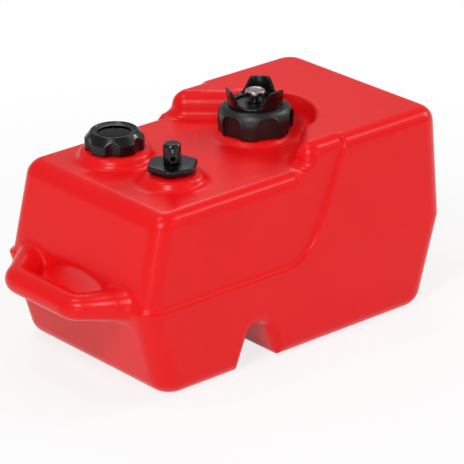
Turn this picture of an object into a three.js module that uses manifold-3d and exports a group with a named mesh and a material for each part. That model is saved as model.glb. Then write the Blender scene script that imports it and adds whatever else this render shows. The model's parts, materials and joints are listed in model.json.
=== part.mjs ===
// A portable fuel tank for an outboard motor: a blow-moulded shell with a carrying loop,
// its vented filler cap, its float gauge and its pickup fitting.
// Millimetres, +Z up, standing on the XY plane, with the carrying loop towards -X.

import * as THREE from 'three';
import Module from 'manifold-3d';
import { mergeVertices } from 'three/addons/utils/BufferGeometryUtils.js';

const wasm = await Module();
wasm.setup();

// Moulded shell: length and width are taken at the parting line.
const tankLength = 377.7;
const tankWidth = 224.3;
const partingHeight = 91.4;
const deckHeight = 181;
const raisedHeight = 204.8;
const shellWall = 3.5;
const cornerRadius = 21.4;
const leastCornerRadius = 2;
const bottomRounding = 14.5;
const topRounding = 14.4;
const ledgeDepth = 4;
const upperDraftShares = { front: 0.25, rear: 0.052, side: 0.015 };
const lowerDraftShares = { front: 0.268, rear: 0.276, side: 0.04 };

// Raised rear deck, its two noses and the round well that the filler stands in.
const raisedFront = 204;
const noseRadius = 14;
const noseInnerRadius = 16;
const noseRounding = 16;
const wellPlace = 236;
const wellRadius = 50.5;
const wellTurn = 76.7;
const wellRimRounding = 3;
const footFillet = 10;

// Ledge that runs along the parting line, then sweeps up to the shoulder of the raised deck.
const ledgeBendStart = 168;
const ledgeBendCorner = 205;
const ledgeBendEnd = 215;
const ledgeBendRise = 33;
const ledgeShoulder = 252.5;

// Strap channel across the underside, with leaning sides that the mould draws off.
const channelPlace = 138.2;
const channelHeight = 44;
const channelCrownRadius = 13.5;
const channelLean = 21;
const channelFoot = 10;
const channelMouth = 10;

// Carrying loop.
const loopReach = 44;
const loopHeight = 25;
const loopDepth = 28;
const loopCornerHalf = 43.6;
const loopRootHalf = 80;
const loopBend = 16;
const loopRootSink = 24;
const loopFlareShare = 0.45;
const loopDrop = 0.6;

// Hollow in the front wall that gives the fingers room behind the loop.
const gripDepth = 11;
const gripHalf = 56;
const gripRise = 34;
const gripLift = 8.6;

// Filler neck and its cap.
const fillerPlace = 229.2;
const fillerNeckRadius = 27;
const neckWall = 3;
const fillerNeckHeight = 15;
const fillerBossRadius = 37;
const fillerBossHeight = 6.2;
const capRadius = 36.3;
const capHeight = 26.5;
const capSkirtHeight = 13;
const capTopRadius = 27.5;
const capBore = 29.5;
const archCount = 6;
const archWidth = 22;
const archCrownWidth = 12;
const archHeight = 21.5;
const archDepth = 4.2;
const archTurn = 8.5;
const gasketThickness = 2;
const insertFlange = 2.5;
const insertPlugDepth = 12;
const insertWall = 2;

// Vent screw on top of the cap, inside its three-petalled guard.
const guardBase = 2;
const guardRise = 18;
const guardThickness = 2.2;
const guardFlare = 2.2;
const guardRingWidth = 6.5;
const petalCount = 3;
const petalTurn = 38.5;
const petalGapFoot = 19;
const petalGapTop = 38;
const ventHubRadius = 8.5;
const ventHubHeight = 30;
const ventStemRadius = 4.2;
const ventKnobRadius = 9.6;
const ventKnobThickness = 5;
const ventKnobLift = 35.5;
const ventSocketDepth = 2.5;
const ventSeatThickness = 1.5;
const ventSealThickness = 1.5;
const ventHoleRadius = 1.8;

// Gauge neck, its six-lobed bezel and the float gauge under it.
const gaugePlace = 91.7;
const gaugeSide = 45.6;
const gaugeNeckRadius = 20;
const gaugeNeckHeight = 9;
const gaugeBossRadius = 35.5;
const gaugeBossHeight = 10.6;
const bezelRadius = 28.8;
const bezelHeight = 17.8;
const bezelSkirtHeight = 10.5;
const bezelRimRadius = 22.9;
const bezelSightRadius = 16.3;
const bezelFunnelRadius = 21;
const bezelLip = 1;
const lobeCount = 6;
const lobeTurn = 47.8;
const scallopRadius = 12;
const scallopDepth = 3;
const gaugeGasketThickness = 1.5;
const housingFlange = 1.6;
const housingWall = 1.5;
const housingFloor = 1.6;
const housingDepth = 5.4;
const lensThickness = 1.8;
const dialThickness = 1;
const pointerHubRadius = 3;
const pointerThickness = 1;
const pointerWidth = 1.6;
const pointerLength = 12;
const journalRadius = 1.3;
const stripWidth = 5;
const stripThickness = 0.8;
const stripTwist = 270;
const floatTravel = 135;
const floatRadius = 14.5;
const floatHeight = 22;
const floatKeyThickness = 2;
const floatBore = 4;
const rodRadius = 1.25;
const rodSpread = 9;
const gaugeFootRadius = 12;
const gaugeFootThickness = 4;
const gaugeFootHeight = 6;
const footSocketDepth = 2;

// Pickup neck, its hexagonal nut and the hose elbow.
const pickupPlace = 94.8;
const pickupSide = -38;
const pickupNeckRadius = 15;
const pickupNeckHeight = 1.5;
const pickupBossRadius = 30;
const pickupBossHeight = 9.6;
const nutRadius = 25.6;
const nutThickness = 5.5;
const nutTurn = -11;
const nutPlugDepth = 14;
const pickupGasketThickness = 1.2;
const stemRadius = 8.5;
const stemHeight = 19.5;
const stemRounding = 1.5;
const spigotRadius = 6.2;
const spigotReach = 5;
const nippleRadius = 3.3;
const nippleLength = 12;
const nippleBore = 2.2;
const barbRadius = 5.2;
const barbRootRadius = 4;
const barbBore = 2.6;
const barbReach = 24.5;
const barbHeight = 12.5;
const barbTurn = 233;
const barbCount = 3;
const pickupTubeRadius = 5.2;
const pickupTubeHeight = 15;
const strainerRadius = 8;
const strainerHeight = 11;
const strainerFloor = 2;
const strainerLift = 3;
const strainerSlots = 6;
const strainerSlotWidth = 2.4;

// Clearances shared by every fit, and how finely curves are cut.
const seatGap = 0.3;
const runningGap = 0.4;
const seam = 0.05;
const weldDistance = 0.001;
const overrun = 20;
const cornerSteps = 4;
const roundSteps = 3;
const largeFacets = 36;
const smallFacets = 16;
const stripSteps = 44;
const loopSteps = 26;
const degree = Math.PI / 180;

// Solids

/** Merges a geometry's shared corners and drops the faces that this leaves without an area. */
function welded(geometry) {
  const bare = new THREE.BufferGeometry();
  bare.setAttribute('position', geometry.getAttribute('position'));
  bare.setIndex(geometry.getIndex());
  const merged = mergeVertices(bare, weldDistance);
  const source = merged.getIndex().array;
  const corners = [];
  for (let i = 0; i < source.length; i += 3) {
    const [a, b, c] = [source[i], source[i + 1], source[i + 2]];
    if (a !== b && b !== c && c !== a) corners.push(a, b, c);
  }
  merged.setIndex(corners);
  return merged;
}

/** Turns a closed geometry into a solid. */
function solid(geometry) {
  const merged = welded(geometry);
  return new wasm.Manifold(new wasm.Mesh({
    numProp: 3,
    vertProperties: new Float32Array(merged.getAttribute('position').array),
    triVerts: new Uint32Array(merged.getIndex().array),
  }));
}

/** Turns a solid back into a geometry. */
function geometryOf(body) {
  const mesh = body.getMesh();
  const geometry = new THREE.BufferGeometry();
  geometry.setAttribute('position', new THREE.BufferAttribute(mesh.vertProperties, 3));
  geometry.setIndex(new THREE.BufferAttribute(mesh.triVerts, 1));
  const merged = welded(geometry);
  merged.computeVertexNormals();
  return merged;
}

/** Triangles that close a ring of points, wound the ring's own way or against it. */
function endFaces(ring, start, winding) {
  const normal = new THREE.Vector3();
  ring.forEach((point, i) => normal.add(point.clone().cross(ring[(i + 1) % ring.length])));
  const widest = Math.max(...normal.toArray().map(Math.abs));
  const dropped = normal.toArray().findIndex((share) => Math.abs(share) === widest);
  const flat = ring.map((point) => {
    const kept = point.toArray().filter((value, axis) => axis !== dropped);
    return new THREE.Vector2(...kept);
  });
  const turn = winding * Math.sign(THREE.ShapeUtils.area(flat));
  return THREE.ShapeUtils.triangulateShape(flat, []).flatMap((corners) => {
    const isSame = Math.sign(THREE.ShapeUtils.area(corners.map((i) => flat[i]))) === turn;
    return (isSame ? corners : corners.toReversed()).map((i) => start + i);
  });
}

/** Skins rings of equally many points, from the first ring to the last, and closes both ends. */
function loft(rings) {
  const count = rings[0].length;
  const points = rings.flat();
  const faces = [];
  for (let level = 0; level + 1 < rings.length; level += 1) {
    for (let i = 0; i < count; i += 1) {
      const a = level * count + i;
      const b = level * count + (i + 1) % count;
      faces.push(a, b, b + count, a, b + count, a + count);
    }
  }
  faces.push(...endFaces(rings.at(-1), (rings.length - 1) * count, 1));
  faces.push(...endFaces(rings[0], 0, -1));
  const geometry = new THREE.BufferGeometry().setFromPoints(points);
  geometry.setIndex(faces);
  return solid(geometry);
}

/** Revolves a profile of [radius, height] points about the vertical through a place. */
function revolve(profile, place = { x: 0, y: 0 }, facets = largeFacets) {
  const outline = profile.map(([radius, height]) => new THREE.Vector2(radius, height));
  const geometry = new THREE.LatheGeometry(outline, facets);
  geometry.rotateX(Math.PI / 2);
  geometry.translate(place.x, place.y, 0);
  return solid(geometry);
}

/** A plain round rod between two heights. */
function rod(radius, bottom, top, place, facets = smallFacets) {
  return revolve([[0, bottom], [radius, bottom], [radius, top], [0, top]], place, facets);
}

/** A round sleeve between two heights. */
function sleeve(inner, outer, bottom, top, place, facets = largeFacets) {
  const profile = [[inner, bottom], [outer, bottom], [outer, top], [inner, top], [inner, bottom]];
  return revolve(profile, place, facets);
}

/** Extrudes an outline of [x, y] points upwards between two heights, about a place and turned. */
function prism(outline, bottom, top, place, turn = 0) {
  const shape = new THREE.Shape(outline.map(([x, y]) => new THREE.Vector2(x, y)));
  const geometry = new THREE.ExtrudeGeometry(shape, { depth: top - bottom, bevelEnabled: false });
  geometry.translate(0, 0, bottom);
  geometry.rotateZ(turn);
  geometry.translate(place.x, place.y, 0);
  return solid(geometry);
}

/** Extrudes an outline in the upright plane, radially outwards from a place at a bearing. */
function radialPrism(outline, reach, place, turn, start = 0) {
  const shape = new THREE.Shape(outline.map(([across, height]) => new THREE.Vector2(across, height)));
  const geometry = new THREE.ExtrudeGeometry(shape, { depth: reach - start, bevelEnabled: false });
  geometry.translate(0, 0, start);
  geometry.applyMatrix4(new THREE.Matrix4().makeBasis(
    new THREE.Vector3(0, 1, 0), new THREE.Vector3(0, 0, 1), new THREE.Vector3(1, 0, 0),
  ));
  geometry.rotateZ(turn);
  geometry.translate(place.x, place.y, 0);
  return solid(geometry);
}

const joined = (solids) => solids.reduce((sum, next) => sum.add(next));

/** Points of an arc about a centre, both ends included. */
function arc(x, y, radius, from, to, steps) {
  const points = [];
  for (let i = 0; i <= steps; i += 1) {
    const angle = from + (to - from) * i / steps;
    points.push([x + radius * Math.cos(angle), y + radius * Math.sin(angle)]);
  }
  return points;
}

// Moulded shell

/** Where the drafted walls stand at a height, pushed outwards by a distance. */
function wallsAt(height, outset) {
  const above = Math.max(height - partingHeight, 0);
  const below = Math.max(partingHeight - height, 0);
  const inward = (wall) => above * upperDraftShares[wall] + below * lowerDraftShares[wall] - outset;
  return {
    front: inward('front'),
    rear: tankLength - inward('rear'),
    half: tankWidth / 2 - inward('side'),
  };
}

/** Outline of the box-shaped body at a height. */
function bodyRing(height, outset) {
  const { front, rear, half } = wallsAt(height, outset);
  const radius = Math.max(cornerRadius + outset, leastCornerRadius);
  const quarter = Math.PI / 2;
  return [
    ...arc(rear - radius, half - radius, radius, 0, quarter, cornerSteps),
    ...arc(front + radius, half - radius, radius, quarter, 2 * quarter, cornerSteps),
    ...arc(front + radius, radius - half, radius, 2 * quarter, 3 * quarter, cornerSteps),
    ...arc(rear - radius, radius - half, radius, 3 * quarter, 4 * quarter, cornerSteps),
  ].map(([x, y]) => new THREE.Vector3(x, y, height));
}

/** The drafted body between two heights, rounded along its bottom and top edges. */
function bodySolid(outset, bottom, top) {
  const rings = [];
  for (let i = 0; i <= roundSteps; i += 1) {
    const angle = i / roundSteps * Math.PI / 2;
    const height = bottom + bottomRounding * (1 - Math.cos(angle));
    rings.push(bodyRing(height, outset - bottomRounding * (1 - Math.sin(angle))));
  }
  rings.push(bodyRing(partingHeight, outset));
  for (let i = 0; i <= roundSteps; i += 1) {
    const angle = i / roundSteps * Math.PI / 2;
    const height = top - topRounding * (1 - Math.sin(angle));
    rings.push(bodyRing(height, outset - topRounding * (1 - Math.cos(angle))));
  }
  return loft(rings);
}

/**
 * Outline of the raised deck's front at a height: both noses, each joined by a straight flank
 * to the round well between them. The well's rim can be pushed out less than the noses.
 */
function noseRing(height, outset, rimOutset = outset) {
  const side = wallsAt(deckHeight, 0).half + overrun;
  const rear = tankLength + overrun;
  const tip = new THREE.Vector2(
    raisedFront + noseRadius,
    wallsAt(deckHeight, -ledgeDepth).half - noseRadius,
  );
  const meet = wellTurn * degree;
  const reach = wellRadius + noseInnerRadius;
  const inner = new THREE.Vector2(wellPlace + reach * Math.cos(meet), reach * Math.sin(meet));
  const across = tip.clone().sub(inner);
  const turn = across.angle() + Math.acos((noseInnerRadius - noseRadius) / across.length());
  const [tipRadius, innerRadius] = [noseRadius, noseInnerRadius]
    .map((radius) => Math.max(radius + outset, leastCornerRadius));
  const flank = [
    [rear, side],
    [tip.x + overrun, side],
    ...arc(tip.x, tip.y, tipRadius, Math.PI / 2, turn, cornerSteps),
    ...arc(inner.x, inner.y, innerRadius, turn, Math.PI + meet, cornerSteps),
  ];
  const mirrored = flank.map(([x, y]) => [x, -y]).reverse();
  const cove = [];
  const steps = 3 * cornerSteps;
  for (let i = 1; i < steps; i += 1) {
    const angle = meet - 2 * meet * i / steps;
    const blend = THREE.MathUtils.smoothstep(Math.min(i, steps - i), 0, cornerSteps);
    const radius = wellRadius - THREE.MathUtils.lerp(outset, rimOutset, blend);
    cove.push([wellPlace + radius * Math.cos(angle), radius * Math.sin(angle)]);
  }
  return [...flank, ...cove, ...mirrored].map(([x, y]) => new THREE.Vector3(x, y, height));
}

/** The raised deck as a block whose front is filleted at its foot and rounded at its top. */
function noseSolid(growth) {
  const top = raisedHeight + growth;
  const drop = topRounding + footFillet / 2;
  const rings = [noseRing(deckHeight + growth - drop, growth + footFillet + drop)];
  for (let i = 0; i <= roundSteps; i += 1) {
    const angle = i / roundSteps * Math.PI / 2;
    const height = deckHeight + growth + footFillet * (1 - Math.cos(angle));
    rings.push(noseRing(height, growth + footFillet * (1 - Math.sin(angle))));
  }
  for (let i = 0; i <= roundSteps; i += 1) {
    const angle = i / roundSteps * Math.PI / 2;
    const height = top - noseRounding * (1 - Math.sin(angle));
    const [nose, rim] = [noseRounding, wellRimRounding].map((size) => growth - size * (1 - Math.cos(angle)));
    rings.push(noseRing(height, nose, rim));
  }
  return loft(rings);
}

/** The whole outer form without its ledge, channel, loop and necks. */
function formSolid(outset, growth) {
  const low = bodySolid(outset, -growth, deckHeight + growth);
  const tall = bodySolid(outset - seam, seam - growth, raisedHeight + growth);
  return low.add(tall.intersect(noseSolid(growth)));
}

/** Everything below and behind the ledge, which stands proud of the rest. */
function proudRegion() {
  const shape = new THREE.Shape();
  const ledge = partingHeight + seam;
  const bendTop = ledge + ledgeBendRise;
  const rise = (raisedHeight - bendTop) / (ledgeShoulder - ledgeBendEnd);
  shape.moveTo(-loopReach - overrun, -overrun);
  shape.lineTo(tankLength + overrun, -overrun);
  shape.lineTo(tankLength + overrun, raisedHeight + overrun);
  shape.lineTo(ledgeShoulder + overrun / rise, raisedHeight + overrun);
  shape.lineTo(ledgeBendEnd, bendTop);
  shape.bezierCurveTo(
    ledgeBendEnd - ledgeBendRise / (2 * rise), bendTop - ledgeBendRise / 2,
    ledgeBendCorner - (ledgeBendCorner - ledgeBendStart) / 4, ledge,
    ledgeBendStart, ledge,
  );
  shape.lineTo(-loopReach - overrun, ledge);
  shape.closePath();
  const depth = tankWidth + 2 * overrun;
  const geometry = new THREE.ExtrudeGeometry(shape, { depth, bevelEnabled: false, curveSegments: smallFacets });
  geometry.rotateX(Math.PI / 2);
  geometry.translate(0, depth / 2, 0);
  return solid(geometry);
}

/** Arch of the strap channel, widened by a distance: a round crown, leaning sides and rounded feet. */
function channelArch(growth) {
  const lean = channelLean * degree;
  const centre = channelHeight - channelCrownRadius;
  const crown = channelCrownRadius + growth;
  const foot = channelFoot - growth / 2;
  const toe = (crown + foot + (centre - foot) * Math.sin(lean)) / Math.cos(lean);
  const right = [
    [toe, -overrun],
    ...arc(toe, foot, foot, -Math.PI / 2, lean - Math.PI, cornerSteps),
    ...arc(0, centre, crown, lean, Math.PI / 2, cornerSteps),
  ];
  return [...right, ...right.slice(0, -1).map(([x, z]) => [-x, z]).reverse()];
}

/** The strap channel's space from side to side, opening out at both mouths. */
function channelSolid(growth) {
  const ringAt = (direction, depth, widening) => channelArch(growth + widening).map(([x, z]) => {
    const half = wallsAt(Math.max(z, 0), seam).half;
    return new THREE.Vector3(channelPlace + x, direction * (half - depth), z);
  });
  const mouth = [[-overrun, channelMouth]];
  for (let i = 0; i <= roundSteps; i += 1) {
    const angle = i / roundSteps * Math.PI / 2;
    mouth.push([channelMouth * (1 - Math.cos(angle)), channelMouth * (1 - Math.sin(angle))]);
  }
  const near = mouth.map(([depth, widening]) => ringAt(-1, depth, widening));
  const far = mouth.map(([depth, widening]) => ringAt(1, depth, widening)).reverse();
  return loft([...near, ...far].reverse());
}

/** The finger hollow in the front wall, grown by a distance. */
function gripHollow(growth) {
  const geometry = new THREE.SphereGeometry(1, smallFacets, smallFacets);
  geometry.scale(gripDepth + growth, gripHalf + growth, gripRise + growth);
  geometry.translate(0, 0, partingHeight + gripLift);
  return solid(geometry);
}

/** The carrying loop: an oval section swept along two slanted arms and a bar. */
function loopSolid() {
  const bar = -loopReach + loopDepth / 2;
  const middle = partingHeight - loopDrop;
  const root = new THREE.Vector3(loopRootSink, -loopRootHalf, middle);
  const corner = new THREE.Vector3(bar, -loopCornerHalf, middle);
  const armWay = corner.clone().sub(root).normalize();
  const bendStart = corner.clone().addScaledVector(armWay, -loopBend);
  const bendEnd = corner.clone().add(new THREE.Vector3(0, loopBend, 0));
  const mirror = (point) => new THREE.Vector3(point.x, -point.y, point.z);
  const path = new THREE.CurvePath();
  path.add(new THREE.LineCurve3(root, bendStart));
  path.add(new THREE.QuadraticBezierCurve3(bendStart, corner, bendEnd));
  path.add(new THREE.LineCurve3(bendEnd, mirror(bendEnd)));
  path.add(new THREE.QuadraticBezierCurve3(mirror(bendEnd), mirror(corner), mirror(bendStart)));
  path.add(new THREE.LineCurve3(mirror(bendStart), mirror(root)));
  const places = path.getSpacedPoints(loopSteps);
  const up = new THREE.Vector3(0, 0, 1);
  return loft(places.map((place, i) => {
    const before = places[Math.max(i - 1, 0)];
    const after = places[Math.min(i + 1, places.length - 1)];
    const across = after.clone().sub(before).normalize().cross(up);
    const nearRoot = THREE.MathUtils.smoothstep(place.x, -loopDepth, loopRootSink);
    const scale = 1 + loopFlareShare * nearRoot;
    return arc(0, 0, 1, 2 * Math.PI, 0, smallFacets).slice(0, -1).map(([u, v]) => {
      const sideways = Math.sign(u) * Math.abs(u) ** 0.85 * loopDepth / 2 * scale;
      const upwards = Math.sign(v) * Math.abs(v) ** 0.85 * loopHeight / 2 * scale;
      return place.clone().addScaledVector(across, sideways).addScaledVector(up, upwards);
    });
  }));
}

/** A round boss on the low deck, flared at its foot and rounded at its top edge. */
function bossSolid(place, radius, height) {
  const low = deckHeight - shellWall / 2;
  const half = height / 2;
  const foot = arc(radius + half, deckHeight + half, half, -Math.PI / 2, -Math.PI, roundSteps);
  const edge = arc(radius - half, deckHeight + half, half, 0, Math.PI / 2, roundSteps);
  return revolve([[0, low], [radius + half, low], ...foot, ...edge, [0, deckHeight + height]], place);
}

const filler = { x: fillerPlace, y: 0 };
const gauge = { x: gaugePlace, y: gaugeSide };
const pickup = { x: pickupPlace, y: pickupSide };

const fillerBossTop = deckHeight + fillerBossHeight;
const fillerRim = fillerBossTop + fillerNeckHeight;
const fillerBore = fillerNeckRadius - neckWall;
const gaugeBossTop = deckHeight + gaugeBossHeight;
const gaugeRim = gaugeBossTop + gaugeNeckHeight;
const gaugeBore = gaugeNeckRadius - neckWall;
const pickupBossTop = deckHeight + pickupBossHeight;
const pickupRim = pickupBossTop + pickupNeckHeight;
const pickupBore = pickupNeckRadius - neckWall;
const ceiling = deckHeight - 2 * shellWall;

function tankShell() {
  const recessed = formSolid(-ledgeDepth, 0);
  const proud = formSolid(0, -seam).intersect(proudRegion());
  const outside = joined([
    recessed.add(proud).subtract(channelSolid(0)).subtract(gripHollow(0)),
    loopSolid(),
    bossSolid(filler, fillerBossRadius, fillerBossHeight),
    bossSolid(gauge, gaugeBossRadius, gaugeBossHeight),
    bossSolid(pickup, pickupBossRadius, pickupBossHeight),
    rod(fillerNeckRadius, ceiling, fillerRim, filler, largeFacets),
    rod(gaugeNeckRadius, ceiling, gaugeRim, gauge, largeFacets),
    rod(pickupNeckRadius, ceiling, pickupRim, pickup, largeFacets),
  ]);
  const recessedSpace = formSolid(-ledgeDepth - shellWall, -shellWall);
  const proudSpace = formSolid(-shellWall, -shellWall - seam)
    .intersect(proudRegion().translate([shellWall, 0, -shellWall]));
  const space = recessedSpace.add(proudSpace);
  const inside = joined([
    space.subtract(channelSolid(shellWall)).subtract(gripHollow(shellWall)),
    rod(fillerBore, ceiling, fillerRim + overrun, filler, largeFacets),
    rod(gaugeBore, ceiling, gaugeRim + overrun, gauge, largeFacets),
    rod(pickupBore, ceiling, pickupRim + overrun, pickup, largeFacets),
  ]);
  return outside.subtract(inside);
}

// Filler cap

const capBottom = fillerBossTop + seatGap;
const capTop = capBottom + capHeight;
const gasketBottom = fillerRim + seatGap;
const insertBottom = gasketBottom + gasketThickness + seatGap;
const insertTop = insertBottom + insertFlange;
const plugRadius = fillerBore - runningGap;
const plugBottom = insertBottom - insertPlugDepth;
const ventSeat = insertBottom + ventSeatThickness;
const ventBore = ventStemRadius + runningGap;

function fillerCap() {
  const shoulder = capHeight - capSkirtHeight;
  const crown = [];
  for (let i = 0; i <= cornerSteps; i += 1) {
    const angle = i / cornerSteps * Math.PI / 2;
    const radius = capTopRadius + (capRadius - capTopRadius) * Math.cos(angle);
    crown.push([radius, capBottom + capSkirtHeight + shoulder * Math.sin(angle)]);
  }
  const ceilingHeight = insertTop + seatGap;
  const hubHole = ventHubRadius + seatGap;
  const dome = revolve([
    [capBore, capBottom],
    [capRadius - ledgeDepth / 4, capBottom],
    ...crown,
    [hubHole, capTop],
    [hubHole, ceilingHeight],
    [capBore, ceilingHeight],
    [capBore, capBottom],
  ]);
  const archOutline = [
    [-archWidth / 2, capBottom - overrun],
    [archWidth / 2, capBottom - overrun],
    [archWidth / 2, capBottom + archHeight * 0.6],
    [archCrownWidth / 2, capBottom + archHeight],
    [-archCrownWidth / 2, capBottom + archHeight],
    [-archWidth / 2, capBottom + archHeight * 0.6],
  ];
  const arches = [];
  for (let i = 0; i < archCount; i += 1) {
    const turn = archTurn * degree + i * 2 * Math.PI / archCount;
    arches.push(radialPrism(archOutline, capRadius + overrun, filler, turn, capRadius - archDepth));
  }
  const placed = dome.translate([filler.x, filler.y, 0]);
  return placed.subtract(joined(arches));
}

function fillerInsert() {
  const inner = plugRadius - insertWall;
  return revolve([
    [ventHoleRadius, insertBottom],
    [inner, insertBottom],
    [inner, plugBottom],
    [plugRadius, plugBottom],
    [plugRadius, insertBottom],
    [capBore - runningGap, insertBottom],
    [capBore - runningGap, insertTop],
    [ventHubRadius, insertTop],
    [ventHubRadius, capBottom + ventHubHeight],
    [ventBore, capBottom + ventHubHeight],
    [ventBore, ventSeat],
    [ventHoleRadius, ventSeat],
    [ventHoleRadius, insertBottom],
  ], filler);
}

function fillerGasket() {
  return sleeve(plugRadius + seatGap, fillerNeckRadius, gasketBottom, gasketBottom + gasketThickness, filler);
}

// Vent screw and its guard

function ventGuard() {
  const bottom = capTop + seatGap;
  const root = bottom + guardBase;
  const tip = bottom + guardRise;
  const outer = capTopRadius - guardThickness / 4;
  const crown = revolve([
    [outer - guardRingWidth, bottom],
    [outer, bottom],
    [outer + guardFlare, tip],
    [outer + guardFlare - guardThickness, tip],
    [outer - guardThickness, root],
    [outer - guardRingWidth, root],
    [outer - guardRingWidth, bottom],
  ], filler);
  const gapOutline = [
    [-petalGapFoot / 2, root],
    [petalGapFoot / 2, root],
    [petalGapTop / 2, tip],
    [petalGapTop / 2, tip + overrun],
    [-petalGapTop / 2, tip + overrun],
    [-petalGapTop / 2, tip],
  ];
  const gaps = [];
  for (let i = 0; i < petalCount; i += 1) {
    const turn = petalTurn * degree + (i + 1 / 2) * 2 * Math.PI / petalCount;
    gaps.push(radialPrism(gapOutline, outer + overrun, filler, turn));
  }
  return crown.subtract(joined(gaps));
}

const knobBottom = capBottom + ventKnobLift;
const sealBottom = ventSeat + seatGap;
const stemBottom = sealBottom + ventSealThickness + seatGap;

function ventKnob() {
  const top = knobBottom + ventKnobThickness;
  const edge = ventKnobThickness / 5;
  const socket = ventStemRadius + seatGap;
  const dish = ventKnobRadius - 2 * edge;
  return revolve([
    [0, knobBottom + ventSocketDepth],
    [socket, knobBottom + ventSocketDepth],
    [socket, knobBottom],
    [ventKnobRadius - edge, knobBottom],
    [ventKnobRadius, knobBottom + edge],
    [ventKnobRadius, top - edge],
    [ventKnobRadius - edge, top],
    [dish, top],
    [dish - edge, top - edge / 2],
    [0, top - edge / 2],
  ], filler);
}

function ventStem() {
  return rod(ventStemRadius, stemBottom, knobBottom + ventSocketDepth - seatGap, filler);
}

function ventSeal() {
  return rod(ventStemRadius, sealBottom, sealBottom + ventSealThickness, filler);
}

// Float gauge

const bezelBottom = gaugeBossTop + seatGap;
const bezelTop = bezelBottom + bezelHeight;
const gaugeGasketBottom = gaugeRim + seatGap;
const flangeBottom = gaugeGasketBottom + gaugeGasketThickness + seatGap;
const flangeTop = flangeBottom + housingFlange;
const lensBottom = flangeTop + seatGap;
const lensTop = lensBottom + lensThickness;
const housingRadius = gaugeBore - runningGap;
const floorTop = flangeTop - housingDepth;
const floorBottom = floorTop - housingFloor;
const dialBottom = floorTop + seatGap;
const dialTop = dialBottom + dialThickness;
const pointerBottom = dialTop + seatGap;
const journalTop = pointerBottom + 2 * pointerThickness - seatGap;
const footTop = gaugeFootHeight + gaugeFootThickness;
const floatBottom = footTop + seatGap;
const keyBottom = floatBottom + floatHeight - floatKeyThickness;
const keyMiddle = keyBottom + floatKeyThickness / 2;
const twistRate = stripTwist * degree / floatTravel;

function gaugeBezel() {
  const skirt = bezelBottom + bezelSkirtHeight;
  const neckSpace = gaugeNeckRadius + runningGap;
  const body = revolve([
    [neckSpace, bezelBottom],
    [bezelRadius, bezelBottom],
    [bezelRadius, skirt],
    [bezelRimRadius, bezelTop],
    [bezelFunnelRadius, bezelTop],
    [bezelSightRadius, lensTop + seatGap + bezelLip],
    [bezelSightRadius, lensTop + seatGap],
    [neckSpace, lensTop + seatGap],
    [neckSpace, bezelBottom],
  ]);
  const cuts = [];
  for (let i = 0; i < lobeCount; i += 1) {
    const turn = lobeTurn * degree + i * 2 * Math.PI / lobeCount;
    const away = bezelRadius + scallopRadius - scallopDepth;
    const centre = { x: away * Math.cos(turn), y: away * Math.sin(turn) };
    cuts.push(rod(scallopRadius, bezelBottom - overrun, bezelTop + overrun, centre, largeFacets));
  }
  return body.subtract(joined(cuts)).translate([gauge.x, gauge.y, 0]);
}

function gaugeLens() {
  return rod(gaugeNeckRadius, lensBottom, lensTop, gauge, largeFacets);
}

function gaugeHousing() {
  const inner = housingRadius - housingWall;
  const hole = journalRadius + runningGap;
  return revolve([
    [hole, floorBottom],
    [housingRadius, floorBottom],
    [housingRadius, flangeBottom],
    [gaugeNeckRadius, flangeBottom],
    [gaugeNeckRadius, flangeTop],
    [inner, flangeTop],
    [inner, floorTop],
    [hole, floorTop],
    [hole, floorBottom],
  ], gauge);
}

function gaugeGasket() {
  const top = gaugeGasketBottom + gaugeGasketThickness;
  return sleeve(gaugeBore, gaugeNeckRadius, gaugeGasketBottom, top, gauge);
}

function gaugeDial() {
  const outer = housingRadius - housingWall - seatGap;
  return sleeve(journalRadius + runningGap, outer, dialBottom, dialTop, gauge);
}

function gaugePointer() {
  const bore = journalRadius + seatGap;
  const hub = sleeve(bore, pointerHubRadius, pointerBottom, pointerBottom + 2 * pointerThickness, gauge, smallFacets);
  const blade = prism([
    [bore + seatGap, -pointerWidth / 2],
    [pointerLength, -pointerWidth / 6],
    [pointerLength, pointerWidth / 6],
    [bore + seatGap, pointerWidth / 2],
  ], pointerBottom, pointerBottom + pointerThickness, gauge, Math.PI);
  return hub.add(blade);
}

/** Flat strip, twisted at an even rate, that the float turns as it climbs. */
function gaugeStrip() {
  const low = footTop;
  const high = floorBottom - 2 * seatGap;
  const rings = [];
  for (let i = 0; i <= stripSteps; i += 1) {
    const height = low + (high - low) * i / stripSteps;
    const turn = twistRate * (height - keyMiddle);
    const corners = [[1, -1], [1, 1], [-1, 1], [-1, -1]];
    rings.push(corners.map(([u, v]) => new THREE.Vector3(u * stripWidth / 2, v * stripThickness / 2, height)
      .applyAxisAngle(new THREE.Vector3(0, 0, 1), turn)
      .add(new THREE.Vector3(gauge.x, gauge.y, 0))));
  }
  const overlap = seatGap;
  const foot = rod(journalRadius, low - footSocketDepth + seatGap, low + overlap, gauge);
  const head = rod(journalRadius, high - overlap, journalTop, gauge);
  return joined([loft(rings), foot, head]);
}

const rodPlaces = [-1, 1].map((side) => ({ x: gauge.x, y: gauge.y + side * rodSpread }));

function guideRod(place) {
  return rod(rodRadius, footTop - footSocketDepth + seatGap, floorBottom - seatGap, place, smallFacets / 2);
}

function gaugeFloat() {
  const key = floatBottom + floatHeight;
  const body = rod(floatRadius, floatBottom, key, gauge, largeFacets);
  const slotHalf = stripWidth / 2 + runningGap;
  const slotDepth = stripThickness / 2 + runningGap;
  const slot = prism([
    [-slotHalf, -slotDepth], [slotHalf, -slotDepth], [slotHalf, slotDepth], [-slotHalf, slotDepth],
  ], keyBottom - seatGap, key + overrun, gauge);
  const holes = rodPlaces.map((place) => (
    rod(rodRadius + runningGap, floatBottom - overrun, key + overrun, place, smallFacets / 2)
  ));
  return body.subtract(joined([rod(floatBore, floatBottom - overrun, keyBottom, gauge), slot, ...holes]));
}

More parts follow.
